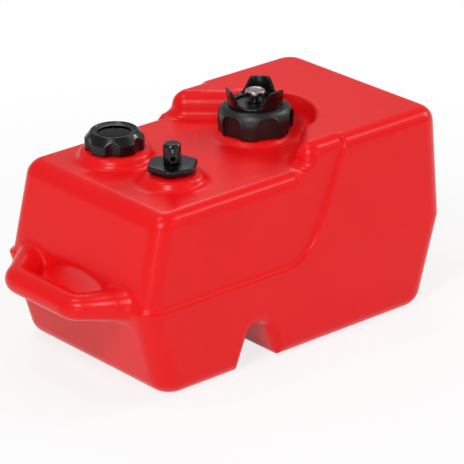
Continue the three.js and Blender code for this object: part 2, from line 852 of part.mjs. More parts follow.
function gaugeFoot() {
  const sockets = rodPlaces.map((place) => (
    rod(rodRadius + seatGap, footTop - footSocketDepth, footTop + overrun, place, smallFacets / 2)
  ));
  const bearing = rod(journalRadius + seatGap, footTop - footSocketDepth, footTop + overrun, gauge);
  return rod(gaugeFootRadius, gaugeFootHeight, footTop - seatGap, gauge, largeFacets)
    .subtract(joined([bearing, ...sockets]));
}

// Pickup fitting

const pickupGasketBottom = pickupRim + seatGap;
const nutBottom = pickupGasketBottom + pickupGasketThickness + seatGap;
const nutTop = nutBottom + nutThickness;
const nutBore = spigotRadius + runningGap;
const nutPlugBottom = nutBottom - nutPlugDepth;
const stemFoot = nutTop + seatGap;
const stemTop = stemFoot + stemHeight;
const barbAxis = stemFoot + barbHeight;
const spigotBottom = nutPlugBottom - spigotReach;
const nippleBottom = spigotBottom - nippleLength;
const tubeTop = spigotBottom - seatGap;

function pickupGasket() {
  const top = pickupGasketBottom + pickupGasketThickness;
  return sleeve(pickupBore, pickupNeckRadius, pickupGasketBottom, top, pickup);
}

function pickupNut() {
  const corners = [];
  for (let i = 0; i < 6; i += 1) {
    const angle = i * Math.PI / 3;
    corners.push([nutRadius * Math.cos(angle), nutRadius * Math.sin(angle)]);
  }
  const turn = (barbTurn + nutTurn) * degree;
  const head = prism(corners, nutBottom, nutTop, pickup, turn);
  const plug = rod(pickupBore - runningGap, nutPlugBottom, nutTop - nutThickness / 2, pickup, largeFacets);
  const bore = rod(nutBore, nutPlugBottom - overrun, nutTop + overrun, pickup, largeFacets);
  return head.add(plug).subtract(bore);
}

function pickupElbow() {
  const stem = revolve([
    [0, nippleBottom],
    [nippleRadius, nippleBottom],
    [nippleRadius, spigotBottom],
    [spigotRadius, spigotBottom],
    [spigotRadius, stemFoot],
    [stemRadius, stemFoot],
    [stemRadius, stemTop - stemRounding],
    [stemRadius - stemRounding, stemTop],
    [0, stemTop],
  ], pickup);
  const ribs = [];
  const run = barbReach - stemRadius;
  for (let i = 0; i < barbCount; i += 1) {
    const start = stemRadius + run * (i + 1) / (barbCount + 1);
    const end = stemRadius + run * (i + 2) / (barbCount + 1);
    ribs.push([barbRadius, start], [barbRootRadius, end]);
  }
  const profile = [[0, 0], [barbRootRadius, 0], [barbRootRadius, ribs[0][1]], ...ribs, [0, barbReach]];
  const aim = (body) => body.rotate([0, 90, 0]).rotate([0, 0, barbTurn])
    .translate([pickup.x, pickup.y, barbAxis]);
  const origin = { x: 0, y: 0 };
  const barb = aim(revolve(profile, origin, smallFacets));
  const barbHole = aim(rod(barbBore, 0, barbReach + overrun, origin, smallFacets / 2));
  const stemHole = rod(nippleBore, nippleBottom - overrun, barbAxis, pickup, smallFacets / 2);
  return stem.add(barb).subtract(barbHole.add(stemHole));
}

function pickupTube() {
  const bore = nippleRadius + seatGap;
  return sleeve(bore, pickupTubeRadius, pickupTubeHeight, tubeTop, pickup, smallFacets);
}

function pickupStrainer() {
  const bottom = shellWall + strainerLift;
  const socket = pickupTubeRadius + seatGap;
  const shelf = pickupTubeHeight - seatGap;
  const opening = nippleRadius;
  const cup = revolve([
    [0, bottom],
    [strainerRadius, bottom],
    [strainerRadius, bottom + strainerHeight],
    [socket, bottom + strainerHeight],
    [socket, shelf],
    [opening, shelf],
    [opening, bottom + strainerFloor],
    [0, bottom + strainerFloor],
  ], pickup, smallFacets);
  const slotBottom = bottom + strainerFloor + seatGap;
  const slotTop = shelf - strainerFloor;
  const half = strainerSlotWidth / 2;
  const outline = [[-half, slotBottom], [half, slotBottom], [half, slotTop], [-half, slotTop]];
  const slots = [];
  for (let i = 0; i < strainerSlots; i += 1) {
    slots.push(radialPrism(outline, strainerRadius + overrun, pickup, i * 2 * Math.PI / strainerSlots));
  }
  return cup.subtract(joined(slots));
}

// Materials

const finish = (color, roughness, metalness = 0) => new THREE.MeshStandardMaterial({ color, roughness, metalness });
const redShell = finish(0xe0262b, 0.42);
const blackPlastic = finish(0x252323, 0.5);
const glossBlack = finish(0x181616, 0.3);
const rubber = finish(0x1c1b1b, 0.8);
const nickel = finish(0xb9a8ab, 0.25, 1);
const clear = finish(0x2a2c30, 0.1);
const darkDial = finish(0x141416, 0.6);
const orange = finish(0xd8581c, 0.5);
const steel = finish(0x9a9a9c, 0.35, 1);
const foam = finish(0x3a352e, 0.9);
const natural = finish(0xd9d4c4, 0.5);

// The assembly

const tank = new THREE.Group();
tank.name = 'outboard_fuel_tank';
tank.position.x = (loopReach - tankLength) / 2;

function addPiece(name, body, material) {
  const mesh = new THREE.Mesh(geometryOf(body), material);
  mesh.name = name;
  tank.add(mesh);
}

addPiece('tank_shell', tankShell(), redShell);
addPiece('filler_cap', fillerCap(), blackPlastic);
addPiece('filler_insert', fillerInsert(), glossBlack);
addPiece('filler_gasket', fillerGasket(), rubber);
addPiece('vent_guard', ventGuard(), glossBlack);
addPiece('vent_knob', ventKnob(), nickel);
addPiece('vent_stem', ventStem(), glossBlack);
addPiece('vent_seal', ventSeal(), rubber);
addPiece('gauge_bezel', gaugeBezel(), blackPlastic);
addPiece('gauge_lens', gaugeLens(), clear);
addPiece('gauge_housing', gaugeHousing(), glossBlack);
addPiece('gauge_gasket', gaugeGasket(), rubber);
addPiece('gauge_dial', gaugeDial(), darkDial);
addPiece('gauge_pointer', gaugePointer(), orange);
addPiece('gauge_strip', gaugeStrip(), steel);
addPiece('guide_rod_near', guideRod(rodPlaces[0]), steel);
addPiece('guide_rod_far', guideRod(rodPlaces[1]), steel);
addPiece('gauge_float', gaugeFloat(), foam);
addPiece('gauge_foot', gaugeFoot(), natural);
addPiece('pickup_gasket', pickupGasket(), rubber);
addPiece('pickup_nut', pickupNut(), blackPlastic);
addPiece('pickup_elbow', pickupElbow(), glossBlack);
addPiece('pickup_tube', pickupTube(), natural);
addPiece('pickup_strainer', pickupStrainer(), natural);

export default tank;
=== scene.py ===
"""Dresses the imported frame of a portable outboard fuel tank: shell, caps, gauge and fitting."""

from __future__ import annotations

import json
import logging
import math
from dataclasses import dataclass, field
from enum import Enum
from typing import Callable, Iterable, Sequence

import bmesh
import bpy
from mathutils import Matrix, Vector

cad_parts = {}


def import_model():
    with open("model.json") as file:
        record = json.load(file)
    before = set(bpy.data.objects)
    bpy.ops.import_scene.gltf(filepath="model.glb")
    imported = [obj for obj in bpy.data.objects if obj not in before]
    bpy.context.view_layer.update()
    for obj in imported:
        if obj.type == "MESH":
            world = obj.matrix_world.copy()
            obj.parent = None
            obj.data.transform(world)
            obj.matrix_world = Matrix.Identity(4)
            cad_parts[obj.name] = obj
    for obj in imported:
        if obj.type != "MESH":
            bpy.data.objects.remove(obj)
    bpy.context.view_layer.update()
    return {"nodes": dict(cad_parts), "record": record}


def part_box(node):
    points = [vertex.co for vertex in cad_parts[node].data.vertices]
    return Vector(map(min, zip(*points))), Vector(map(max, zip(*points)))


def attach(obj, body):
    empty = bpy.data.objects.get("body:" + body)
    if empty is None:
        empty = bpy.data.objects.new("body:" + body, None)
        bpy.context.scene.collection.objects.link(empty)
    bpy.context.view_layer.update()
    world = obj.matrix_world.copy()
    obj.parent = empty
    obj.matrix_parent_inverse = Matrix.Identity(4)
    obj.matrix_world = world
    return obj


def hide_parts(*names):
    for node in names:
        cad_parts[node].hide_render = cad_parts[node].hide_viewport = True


LOG = logging.getLogger("fuel_tank")

MM = 0.001
FULL_TURN = 2 * math.pi

# Points closer than WELD are merged, and points within LEVEL of a height count as lying at it.
WELD = 0.002 * MM
LEVEL = 0.02 * MM
# Least upward share of the normal of a face that looks up.
FACING_UP = 0.9
# Edges that climb further than this are upright ones.
UPRIGHT = 1 * MM
# Most of a side that the rounding of one of its corners takes up.
MOST_OF_SIDE = 0.45
# Sharpest bend in degrees that is shaded smooth.
SMOOTH_BEND = 35.0

# Faces round a full turn, from thin wires to the grips of the caps.
WIRE_STEPS = 32
BORE_STEPS = 48
STEM_STEPS = 64
RING_STEPS = 96
GRIP_STEPS = 144

Point = tuple[float, float]


# Modelling bench


class Pick(Enum):
    """What an edit-mode selection is made of."""

    VERTS = "VERT"
    EDGES = "EDGE"
    FACES = "FACE"


class Join(Enum):
    """How one solid is worked into another."""

    CUT = "DIFFERENCE"
    FUSE = "UNION"
    KEEP = "INTERSECT"


def clear_selection() -> None:
    """Leaves edit mode and deselects every object."""
    if bpy.context.mode != "OBJECT":
        bpy.ops.object.mode_set(mode="OBJECT")
    bpy.ops.object.select_all(action="DESELECT")


def take_up(piece: bpy.types.Object) -> bpy.types.Object:
    """Makes one object the only selected and active one.

    Args:
        piece: The object to work on next.

    Returns:
        The same object.
    """
    clear_selection()
    piece.select_set(True)
    bpy.context.view_layer.objects.active = piece
    return piece


def edit(piece: bpy.types.Object, pick: Pick = Pick.FACES) -> bmesh.types.BMesh:
    """Opens an object in edit mode with nothing selected.

    Args:
        piece: The object to open.
        pick: The kind of element that the next selection takes.

    Returns:
        The open edit mesh.
    """
    take_up(piece)
    bpy.ops.object.mode_set(mode="EDIT")
    bpy.ops.mesh.select_mode(type=pick.value)
    bpy.ops.mesh.select_all(action="DESELECT")
    return bmesh.from_edit_mesh(piece.data)


def select_where(piece: bpy.types.Object, pick: Pick, test: Callable) -> int:
    """Selects the vertices, edges or faces that pass a test, in edit mode.

    Args:
        piece: The object open in edit mode.
        pick: The kind of element to test.
        test: Takes the element and says whether it is wanted.

    Returns:
        How many elements were selected.
    """
    bpy.ops.mesh.select_mode(type=pick.value)
    bpy.ops.mesh.select_all(action="DESELECT")
    mesh = bmesh.from_edit_mesh(piece.data)
    elements = {Pick.VERTS: mesh.verts, Pick.EDGES: mesh.edges, Pick.FACES: mesh.faces}[pick]
    chosen = [element for element in elements if test(element)]
    for element in chosen:
        element.select = True
    mesh.select_flush_mode()
    bmesh.update_edit_mesh(piece.data)
    return len(chosen)


def close_edit(piece: bpy.types.Object) -> bpy.types.Object:
    """Merges doubles, turns every face outwards and leaves edit mode.

    Args:
        piece: The object open in edit mode.

    Returns:
        The same object.
    """
    bpy.ops.mesh.select_mode(type="VERT")
    bpy.ops.mesh.select_all(action="SELECT")
    bpy.ops.mesh.remove_doubles(threshold=WELD)
    bpy.ops.mesh.normals_make_consistent(inside=False)
    bpy.ops.object.mode_set(mode="OBJECT")
    return piece


def named(name: str) -> bpy.types.Object:
    """Names the active object and its mesh.

    Args:
        name: The name of both.

    Returns:
        The active object.
    """
    piece = bpy.context.view_layer.objects.active
    piece.name = name
    piece.data.name = name
    return piece


def settle(piece: bpy.types.Object) -> bpy.types.Object:
    """Puts an object's place, turn and size into its mesh.

    Args:
        piece: The object to settle.

    Returns:
        The same object.
    """
    take_up(piece)
    bpy.ops.object.transform_apply(location=True, rotation=True, scale=True)
    return piece


def apply_modifiers(piece: bpy.types.Object) -> bpy.types.Object:
    """Applies every modifier of an object, in order.

    Args:
        piece: The object with the modifiers.

    Returns:
        The same object.
    """
    take_up(piece)
    for modifier in list(piece.modifiers):
        bpy.ops.object.modifier_apply(modifier=modifier.name)
    return piece


def work_in(piece: bpy.types.Object, tool: bpy.types.Object, join: Join) -> bpy.types.Object:
    """Cuts, fuses or keeps a solid with another, which is used up.

    Args:
        piece: The solid that stays.
        tool: The solid that is used up.
        join: What is done with it.

    Returns:
        The solid that stays.
    """
    boolean = piece.modifiers.new(join.value.lower(), "BOOLEAN")
    boolean.operation = join.value
    boolean.solver = "MANIFOLD"
    boolean.object = tool
    apply_modifiers(piece)
    bpy.data.objects.remove(tool, do_unlink=True)
    return piece


def joined(pieces: Sequence[bpy.types.Object]) -> bpy.types.Object:
    """Joins separate solids into the first one, without fusing them.

    Args:
        pieces: The solids, of which the first one stays.

    Returns:
        The first solid.
    """
    take_up(pieces[0])
    for piece in pieces[1:]:
        piece.select_set(True)
    bpy.ops.object.join()
    return pieces[0]


def smooth_shade(piece: bpy.types.Object) -> bpy.types.Object:
    """Shades an object smooth, apart from its sharp edges.

    Args:
        piece: The object to shade.

    Returns:
        The same object.
    """
    take_up(piece)
    bpy.ops.object.shade_smooth_by_angle(angle=math.radians(SMOOTH_BEND))
    return piece


def arc_points(centre: Point, radius: float, start: float, end: float, steps: int) -> list[Point]:
    """Points along an arc, both ends included, with angles in degrees."""
    spread = [math.radians(start + (end - start) * i / steps) for i in range(steps + 1)]
    return [(centre[0] + radius * math.cos(a), centre[1] + radius * math.sin(a)) for a in spread]


def square(left: float, right: float, low: float, high: float) -> list[Point]:
    """Corners of an upright rectangle, which is also the profile of a ring or of a disc."""
    return [(left, low), (right, low), (right, high), (left, high)]


def draw_chain(name: str, points: Sequence[Vector], closed: bool) -> bpy.types.Object:
    """Draws a chain of points by extruding one vertex from each to the next.

    Args:
        name: The new object's name.
        points: The places that the chain passes through, in metres.
        closed: Whether the last point joins the first.

    Returns:
        The new object, a wire in object mode.
    """
    clear_selection()
    bpy.ops.mesh.primitive_plane_add(size=1, location=(0, 0, 0))
    piece = named(name)
    edit(piece, Pick.VERTS)
    bpy.ops.mesh.select_all(action="SELECT")
    bpy.ops.mesh.merge(type="CENTER")
    bpy.ops.transform.translate(value=points[0])
    for before, after in zip(points, points[1:]):
        bpy.ops.mesh.extrude_region_move(TRANSFORM_OT_translate={"value": after - before})
    if closed:
        mesh = bmesh.from_edit_mesh(piece.data)
        mesh.verts.ensure_lookup_table()
        ends = sorted((v for v in mesh.verts if len(v.link_edges) < 2), key=lambda v: v.index)
        for vertex in ends:
            vertex.select = True
        mesh.select_flush_mode()
        bmesh.update_edit_mesh(piece.data)
        bpy.ops.mesh.edge_face_add()
    bpy.ops.object.mode_set(mode="OBJECT")
    return piece


def rounded(
    profile: Sequence[Point], size: float | Sequence[float], closed: bool, steps: int = 4
) -> list[Point]:
    """Rounds the corners of a flat chain of points.

    Args:
        profile: The chain's points.
        size: How far each rounding reaches from its corner, one for all or one for each.
        closed: Whether the last point joins the first.
        steps: Segments across each rounding.

    Returns:
        The rounded chain.
    """
    count = len(profile)
    points = [Vector(point) for point in profile]
    chain = []
    for i, corner in enumerate(points):
        if not closed and i in (0, count - 1):
            chain.append(tuple(corner))
            continue
        before, after = points[i - 1] - corner, points[(i + 1) % count] - corner
        wanted = size if isinstance(size, float) else size[i]
        reach = min(wanted, MOST_OF_SIDE * before.length, MOST_OF_SIDE * after.length)
        start, end = corner + before.normalized() * reach, corner + after.normalized() * reach
        for j in range(steps + 1):
            t = j / steps
            chain.append(tuple(start * (1 - t) ** 2 + corner * (2 * t * (1 - t)) + end * t**2))
    return chain


def turned(
    name: str,
    profile: Sequence[Point],
    centre: Point,
    steps: int = RING_STEPS,
    rounding: float = 0.0,
) -> bpy.types.Object:
    """Spins a closed or axis-ended profile into a round solid.

    Args:
        name: The new object's name.
        profile: Radius and height of each point in metres, bottom outwards and back.
        centre: The upright axis in plan.
        steps: Faces round the full turn.
        rounding: How far the profile's corners are rounded.

    Returns:
        The new solid.
    """
    hollow = all(radius > 0 for radius, _ in profile)
    if rounding:
        profile = rounded(profile, rounding, hollow)
    points = [Vector((radius, 0, height)) for radius, height in profile]
    piece = draw_chain(name, points, closed=hollow)
    edit(piece, Pick.VERTS)
    bpy.ops.mesh.select_all(action="SELECT")
    bpy.ops.mesh.spin(steps=steps, angle=FULL_TURN, center=(0, 0, 0), axis=(0, 0, 1))
    close_edit(piece)
    piece.location = (centre[0], centre[1], 0)
    return settle(piece)


def bored(
    piece: bpy.types.Object, holes: Iterable[tuple[Point, float, float, float]]
) -> bpy.types.Object:
    """Bores round holes: each an upright axis in plan, a radius, a bottom and a top.

    Args:
        piece: The solid to bore.
        holes: Axis in plan, radius, bottom and top of each hole.

    Returns:
        The same object.
    """
    for centre, radius, low, top in holes:
        hole = turned("hole", square(0, radius, low, top), centre, WIRE_STEPS)
        work_in(piece, hole, Join.CUT)
    return piece


def lofted(name: str, rings: Sequence[Sequence[Vector]]) -> bpy.types.Object:
    """Skins rings of equally many points and caps both ends.

    Args:
        name: The new object's name.
        rings: Closed rings of points in metres, in order.

    Returns:
        The new solid.
    """
    clear_selection()
    bpy.ops.mesh.primitive_plane_add(size=1, location=(0, 0, 0))
    piece = named(name)
    edit(piece, Pick.VERTS)
    bpy.ops.mesh.select_all(action="SELECT")
    bpy.ops.mesh.delete(type="VERT")
    mesh = bmesh.from_edit_mesh(piece.data)
    levels = [[mesh.verts.new(point) for point in ring] for ring in rings]
    count = len(levels[0])
    for low, high in zip(levels, levels[1:]):
        for i in range(count):
            j = (i + 1) % count
            mesh.faces.new((low[i], low[j], high[j], high[i]))
    mesh.faces.new(list(reversed(levels[0])))
    mesh.faces.new(levels[-1])
    bmesh.update_edit_mesh(piece.data)
    return close_edit(piece)


def aimed(piece: bpy.types.Object, turn: float, centre: Point) -> bpy.types.Object:
    """Turns a piece made at the origin to a bearing in degrees and moves it to an axis.

    Args:
        piece: The piece to move.
        turn: Its bearing in degrees.
        centre: The upright axis in plan.

    Returns:
        The same object.
    """
    piece.rotation_euler = (0, 0, math.radians(turn))
    piece.location = (centre[0], centre[1], 0)
    return settle(piece)


def pointing_out(
    name: str, outline: Sequence[Point], start: float, end: float, turn: float, centre: Point
) -> bpy.types.Object:
    """An upright outline extruded outwards from an axis.

    Args:
        name: The new object's name.
        outline: Place across the bearing and height of each corner.
        start: Radius where the solid starts.
        end: Radius where it ends.
        turn: Its bearing in degrees.
        centre: The upright axis in plan.

    Returns:
        The new solid.
    """
    corners_at = [Vector((start, across, height)) for across, height in outline]
    return aimed(pulled(name, corners_at, Vector((end - start, 0, 0))), turn, centre)


def skinned(
    piece: bpy.types.Object, voxel: float, smoothing: int, most_faces: int
) -> bpy.types.Object:
    """Gives overlapping solids one even skin with soft edges, as a moulding has.

    Args:
        piece: The joined solids.
        voxel: Size of the skin's facets.
        smoothing: How many times the skin is relaxed.
        most_faces: Most triangles that the skin keeps.

    Returns:
        The same object.
    """
    remesh = piece.modifiers.new("skin", "REMESH")
    remesh.mode = "VOXEL"
    remesh.voxel_size = voxel * 1.0
    soften = piece.modifiers.new("soften", "SMOOTH")
    soften.factor = 0.5
    soften.iterations = smoothing
    apply_modifiers(piece)
    return thinned(piece, most_faces)


def thinned(piece: bpy.types.Object, most_faces: int) -> bpy.types.Object:
    """Brings a skin down to a number of triangles, keeping them where it bends.

    Args:
        piece: The skin.
        most_faces: Most triangles that it keeps.

    Returns:
        The same object.
    """
    count = len(piece.data.polygons) * 2
    LOG.info("%s skin has %d triangles", piece.name, count)
    if count > most_faces:
        thin = piece.modifiers.new("thin", "DECIMATE")
        thin.ratio = most_faces / count
        apply_modifiers(piece)
    return piece


def relax_where(piece: bpy.types.Object, repeat: int, test: Callable) -> None:
    """Relaxes part of a skin into wide soft fillets.

    Args:
        piece: The skin.
        repeat: How many times it is relaxed.
        test: Takes a vertex and says whether it takes part.
    """
    edit(piece, Pick.VERTS)
    if select_where(piece, Pick.VERTS, test):
        bpy.ops.mesh.vertices_smooth(factor=0.5, repeat=repeat)
    bpy.ops.object.mode_set(mode="OBJECT")


def pulled(name: str, outline: Sequence[Vector], way: Vector) -> bpy.types.Object:
    """Fills a flat outline and extrudes it into a solid.

    Args:
        name: The new object's name.
        outline: The outline's corners in metres.
        way: How far and where it is extruded.

    Returns:
        The new solid.
    """
    piece = draw_chain(name, outline, closed=True)
    edit(piece, Pick.VERTS)
    bpy.ops.mesh.select_all(action="SELECT")
    bpy.ops.mesh.edge_face_add()
    bpy.ops.mesh.extrude_region_move(TRANSFORM_OT_translate={"value": way})
    return close_edit(piece)


def round_edges(piece: bpy.types.Object, width: float, segments: int, test: Callable) -> None:
    """Bevels the edges that pass a test.

    Args:
        piece: The solid to round.
        width: How far the rounding reaches from the edge, in metres.
        segments: Faces across the rounding.
        test: Takes an edge and says whether it is rounded.
    """
    edit(piece, Pick.EDGES)
    if select_where(piece, Pick.EDGES, test):
        bpy.ops.mesh.bevel(offset=width, segments=segments, affect="EDGES", clamp_overlap=False)
    close_edit(piece)


def flat_at(height: float) -> Callable:
    """A test for edges that lie at one height."""
    return lambda edge: all(abs(v.co.z - height) < LEVEL for v in edge.verts)


def upright_over(length: float) -> Callable:
    """A test for edges that climb further than a length."""
    return lambda edge: abs(edge.verts[0].co.z - edge.verts[1].co.z) > length


def axis_of(node: str) -> Point:
    """The upright axis of a round frame node, in plan.

    Args:
        node: The name of the node.

    Returns:
        The axis as two lengths in metres.
    """
    low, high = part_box(node)
    middle = (low + high) / 2
    return (middle.x, middle.y)


def span(node: str) -> tuple[float, float]:
    """A frame node's lowest and highest height."""
    low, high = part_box(node)
    return low.z, high.z


# Finishes


def linear(code: str) -> tuple[float, float, float, float]:
    """Turns an sRGB hex code into linear colour with full alpha.

    Args:
        code: The code, a hash and six digits.

    Returns:
        The linear colour.
    """
    channels = [int(code[i : i + 2], 16) / 255 for i in (1, 3, 5)]
    bright = [c / 12.92 if c <= 0.04045 else ((c + 0.055) / 1.055) ** 2.4 for c in channels]
    return (*bright, 1.0)


class Graph:
    """A material's node tree, with one short way to add a node."""

    def __init__(self, name: str) -> None:
        """Starts an empty material that has only a Principled shader.

        Args:
            name: The name of the material.
        """
        self.material = bpy.data.materials.new(name)
        self.material.use_nodes = True
        self.tree = self.material.node_tree
        self.shader = self.tree.nodes["Principled BSDF"]

    def add(self, kind: str, values: dict | None = None, **settings: object) -> bpy.types.Node:
        """Adds a node.

        Args:
            kind: The node's type.
            values: Input socket name or number to a constant or to another node's output.
            settings: The node's own attributes.

        Returns:
            The new node.
        """
        node = self.tree.nodes.new(kind)
        for attribute, value in settings.items():
            setattr(node, attribute, value)
        for socket, value in (values or {}).items():
            if isinstance(value, bpy.types.NodeSocket):
                self.tree.links.new(value, node.inputs[socket])
            else:
                node.inputs[socket].default_value = value
        return node

    def place(self) -> bpy.types.NodeSocket:
        """The point's own place on the object, in metres."""
        return self.add("ShaderNodeTexCoord").outputs["Object"]

    def feed(self, socket: str, source: bpy.types.NodeSocket) -> None:
        """Links a source to one of the shader's sockets."""
        self.tree.links.new(source, self.shader.inputs[socket])


@dataclass(frozen=True)
class Finish:
    """A moulded, plated or drawn surface with an uneven colour, gloss and relief.

    Sizes are in millimetres and colours are sRGB hex codes.
    """

    name: str
    colour: str
    shade: str
    roughness: float
    roughness_spread: float = 0.05
    metallic: float = 0.0
    ior: float = 1.5
    specular: float = 0.5
    mottle_size: float = 30.0
    grain_size: float = 0.8
    grain_depth: float = 0.02
    wave_size: float = 0.0
    wave_depth: float = 0.0
    transmission: float = 0.0

    def make(self) -> bpy.types.Material:
        """Builds the material.

        Returns:
            The finished material.
        """
        graph = Graph(self.name)
        place = graph.place()
        scale = 1 / (self.mottle_size * MM)
        mottle = graph.add("ShaderNodeTexNoise", {"Vector": place, "Scale": scale, "Detail": 3.0})
        blend = graph.add(
            "ShaderNodeMix",
            {0: mottle.outputs["Fac"], 6: linear(self.colour), 7: linear(self.shade)},
            data_type="RGBA",
        )
        graph.feed("Base Color", blend.outputs[2])
        scale = 1 / (self.grain_size * MM)
        grain = graph.add("ShaderNodeTexNoise", {"Vector": place, "Scale": scale, "Detail": 2.0})
        gloss = graph.add(
            "ShaderNodeMapRange",
            {
                "Value": grain.outputs["Fac"],
                "To Min": self.roughness - self.roughness_spread,
                "To Max": self.roughness + self.roughness_spread,
            },
        )
        graph.feed("Roughness", gloss.outputs["Result"])
        depth = self.grain_depth * MM
        relief = graph.add(
            "ShaderNodeBump", {"Height": grain.outputs["Fac"], "Distance": depth, "Strength": 1.0}
        )
        if self.wave_depth:
            scale = 1 / (self.wave_size * MM)
            wave = graph.add("ShaderNodeTexNoise", {"Vector": place, "Scale": scale, "Detail": 1.0})
            depth = self.wave_depth * MM
            swell = graph.add(
                "ShaderNodeBump",
                {"Height": wave.outputs["Fac"], "Distance": depth, "Strength": 1.0},
            )
            graph.tree.links.new(swell.outputs["Normal"], relief.inputs["Normal"])
        graph.feed("Normal", relief.outputs["Normal"])
        for socket, value in (
            ("Metallic", self.metallic),
            ("IOR", self.ior),
            ("Specular IOR Level", self.specular),
            ("Transmission Weight", self.transmission),
        ):
            graph.shader.inputs[socket].default_value = value
        return graph.material


# Blow-moulded high-density polyethylene: a deep waxy red whose sheen breaks up over a fine pebble.
RED_POLYETHYLENE = Finish(
    "blow_moulded_polyethylene", "#F01216", "#E80F13", 0.30, roughness_spread=0.06, ior=1.54,
    specular=0.2, mottle_size=60.0, grain_size=1.3, grain_depth=0.03, wave_size=22.0,
    wave_depth=0.3,
)
# Injection-moulded nylon with a spark-eroded grain: black, and pale and sandy where light rakes it.
GRAINED_NYLON = Finish(
    "grained_nylon", "#171314", "#100D0E", 0.4, roughness_spread=0.08, specular=0.55,
    grain_size=0.75, grain_depth=0.09,
)
# The same nylon from a polished mould: near black, with tight soft highlights.
SMOOTH_NYLON = Finish(
    "smooth_nylon", "#0D0B0C", "#090808", 0.24, roughness_spread=0.03, specular=0.4,
    grain_size=1.8, grain_depth=0.008,
)
# Nitrile rubber: flat black.
NITRILE_RUBBER = Finish(
    "nitrile_rubber", "#141313", "#0F0F0F", 0.75, specular=0.3, grain_size=1.0, grain_depth=0.03,
)
# Nickel plate over turned brass: bright, and mottled where fingers have dulled it.
NICKEL_PLATE = Finish(
    "nickel_plate", "#C9BEBF", "#8F8486", 0.24, roughness_spread=0.1, metallic=1.0,
    mottle_size=3.0, grain_size=1.2, grain_depth=0.05,
)
# Smoked polycarbonate: a dark window that shows the dial only faintly.
SMOKED_POLYCARBONATE = Finish(
    "smoked_polycarbonate", "#232427", "#1F2023", 0.06, roughness_spread=0.02, ior=1.25,
    specular=0.12, grain_depth=0.001, transmission=1.0,
)
# Moulded styrene dial: matt black.
BLACK_STYRENE = Finish("black_styrene", "#0E0E0E", "#0B0B0B", 0.6, specular=0.25)
# Hot-stamped foil on the dial's raised ticks: chalky white.
STAMPED_FOIL = Finish("stamped_foil", "#CFCBC2", "#C4C0B7", 0.55, specular=0.3)
# Acrylic pointer: orange.
ORANGE_ACRYLIC = Finish("orange_acrylic", "#D8581C", "#CC4F18", 0.35, specular=0.4)
# Drawn stainless wire and strip: fine drawing lines read as a soft sheen.
DRAWN_STAINLESS = Finish(
    "drawn_stainless", "#A9A9AA", "#939394", 0.32, metallic=1.0, mottle_size=3.0,
    grain_size=0.5, grain_depth=0.01,
)
# Closed-cell nitrile foam float: brown-black with open pores at the skin.
FLOAT_FOAM = Finish(
    "float_foam", "#3A352E", "#2E2A25", 0.9, specular=0.2, grain_size=1.4, grain_depth=0.25,
)
# Natural polyethylene: milky and waxy.
NATURAL_POLYETHYLENE = Finish(
    "natural_polyethylene", "#DDD8C9", "#D2CCBB", 0.42, specular=0.35, grain_size=1.5,
    grain_depth=0.02,
)

# What each node of the frame is made of, and so is the piece that stands for it.
NODE_FINISHES: dict[str, Finish] = {
    "tank_shell": RED_POLYETHYLENE,
    "filler_cap": GRAINED_NYLON,
    "filler_insert": SMOOTH_NYLON,
    "filler_gasket": NITRILE_RUBBER,
    "vent_guard": SMOOTH_NYLON,
    "vent_knob": NICKEL_PLATE,
    "vent_stem": SMOOTH_NYLON,
    "vent_seal": NITRILE_RUBBER,
    "gauge_bezel": SMOOTH_NYLON,
    "gauge_lens": SMOKED_POLYCARBONATE,
    "gauge_housing": SMOOTH_NYLON,
    "gauge_gasket": NITRILE_RUBBER,
    "gauge_dial": BLACK_STYRENE,
    "gauge_pointer": ORANGE_ACRYLIC,
    "gauge_strip": DRAWN_STAINLESS,
    "guide_rod_near": DRAWN_STAINLESS,
    "guide_rod_far": DRAWN_STAINLESS,
    "gauge_float": FLOAT_FOAM,
    "gauge_foot": NATURAL_POLYETHYLENE,
    "pickup_gasket": NITRILE_RUBBER,
    "pickup_nut": SMOOTH_NYLON,
    "pickup_elbow": SMOOTH_NYLON,
    "pickup_tube": NATURAL_POLYETHYLENE,
    "pickup_strainer": NATURAL_POLYETHYLENE,
}


@dataclass
class Wardrobe:
    """Makes each finish once and puts it on pieces and frame nodes."""

    made: dict[str, bpy.types.Material] = field(default_factory=dict)

    def dress(self, piece: bpy.types.Object, finish: Finish) -> bpy.types.Object:
        """Puts a finish on a piece as its only material.

        Args:
            piece: A new piece or a frame node.
            finish: What it is made of.

        Returns:
            The same piece.
        """
        if finish.name not in self.made:
            self.made[finish.name] = finish.make()
        if piece.material_slots:
            for slot in piece.material_slots:
                slot.material = self.made[finish.name]
        else:
            piece.data.materials.append(self.made[finish.name])
        return piece


@dataclass
class Fitter:
    """Puts each finished piece in its node's place and on its node's body."""

    wardrobe: Wardrobe
    record: dict
    fitted: list[bpy.types.Object] = field(default_factory=list)

    def __post_init__(self) -> None:
        """Reads which body and slot each node has."""
        self.slots = {entry["node"]: entry["material_slot"] for entry in self.record["subparts"]}
        bodies = self.record["behaviour"]["bodies"]
        self.bodies = {node: body for body, nodes in bodies.items() for node in nodes}

    def fit(self, piece: bpy.types.Object, node: str) -> None:
        """Finishes a piece that stands for a frame node.

        Args:
            piece: The new piece.
            node: The frame node that it replaces, whose finish it takes.
        """
        self.add(piece, node, NODE_FINISHES[node])
        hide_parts(node)

    def add(self, piece: bpy.types.Object, node: str, finish: Finish) -> None:
        """Finishes a piece that is an extra on the body of a frame node.

        Args:
            piece: The new piece.
            node: The frame node whose body it shares.
            finish: What it is made of.
        """
        smooth_shade(piece)
        self.wardrobe.dress(piece, finish)
        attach(piece, self.bodies[node])
        self.fitted.append(piece)
        LOG.info("%s: %d faces, on %s", piece.name, len(piece.data.polygons), self.bodies[node])


# Moulded shell


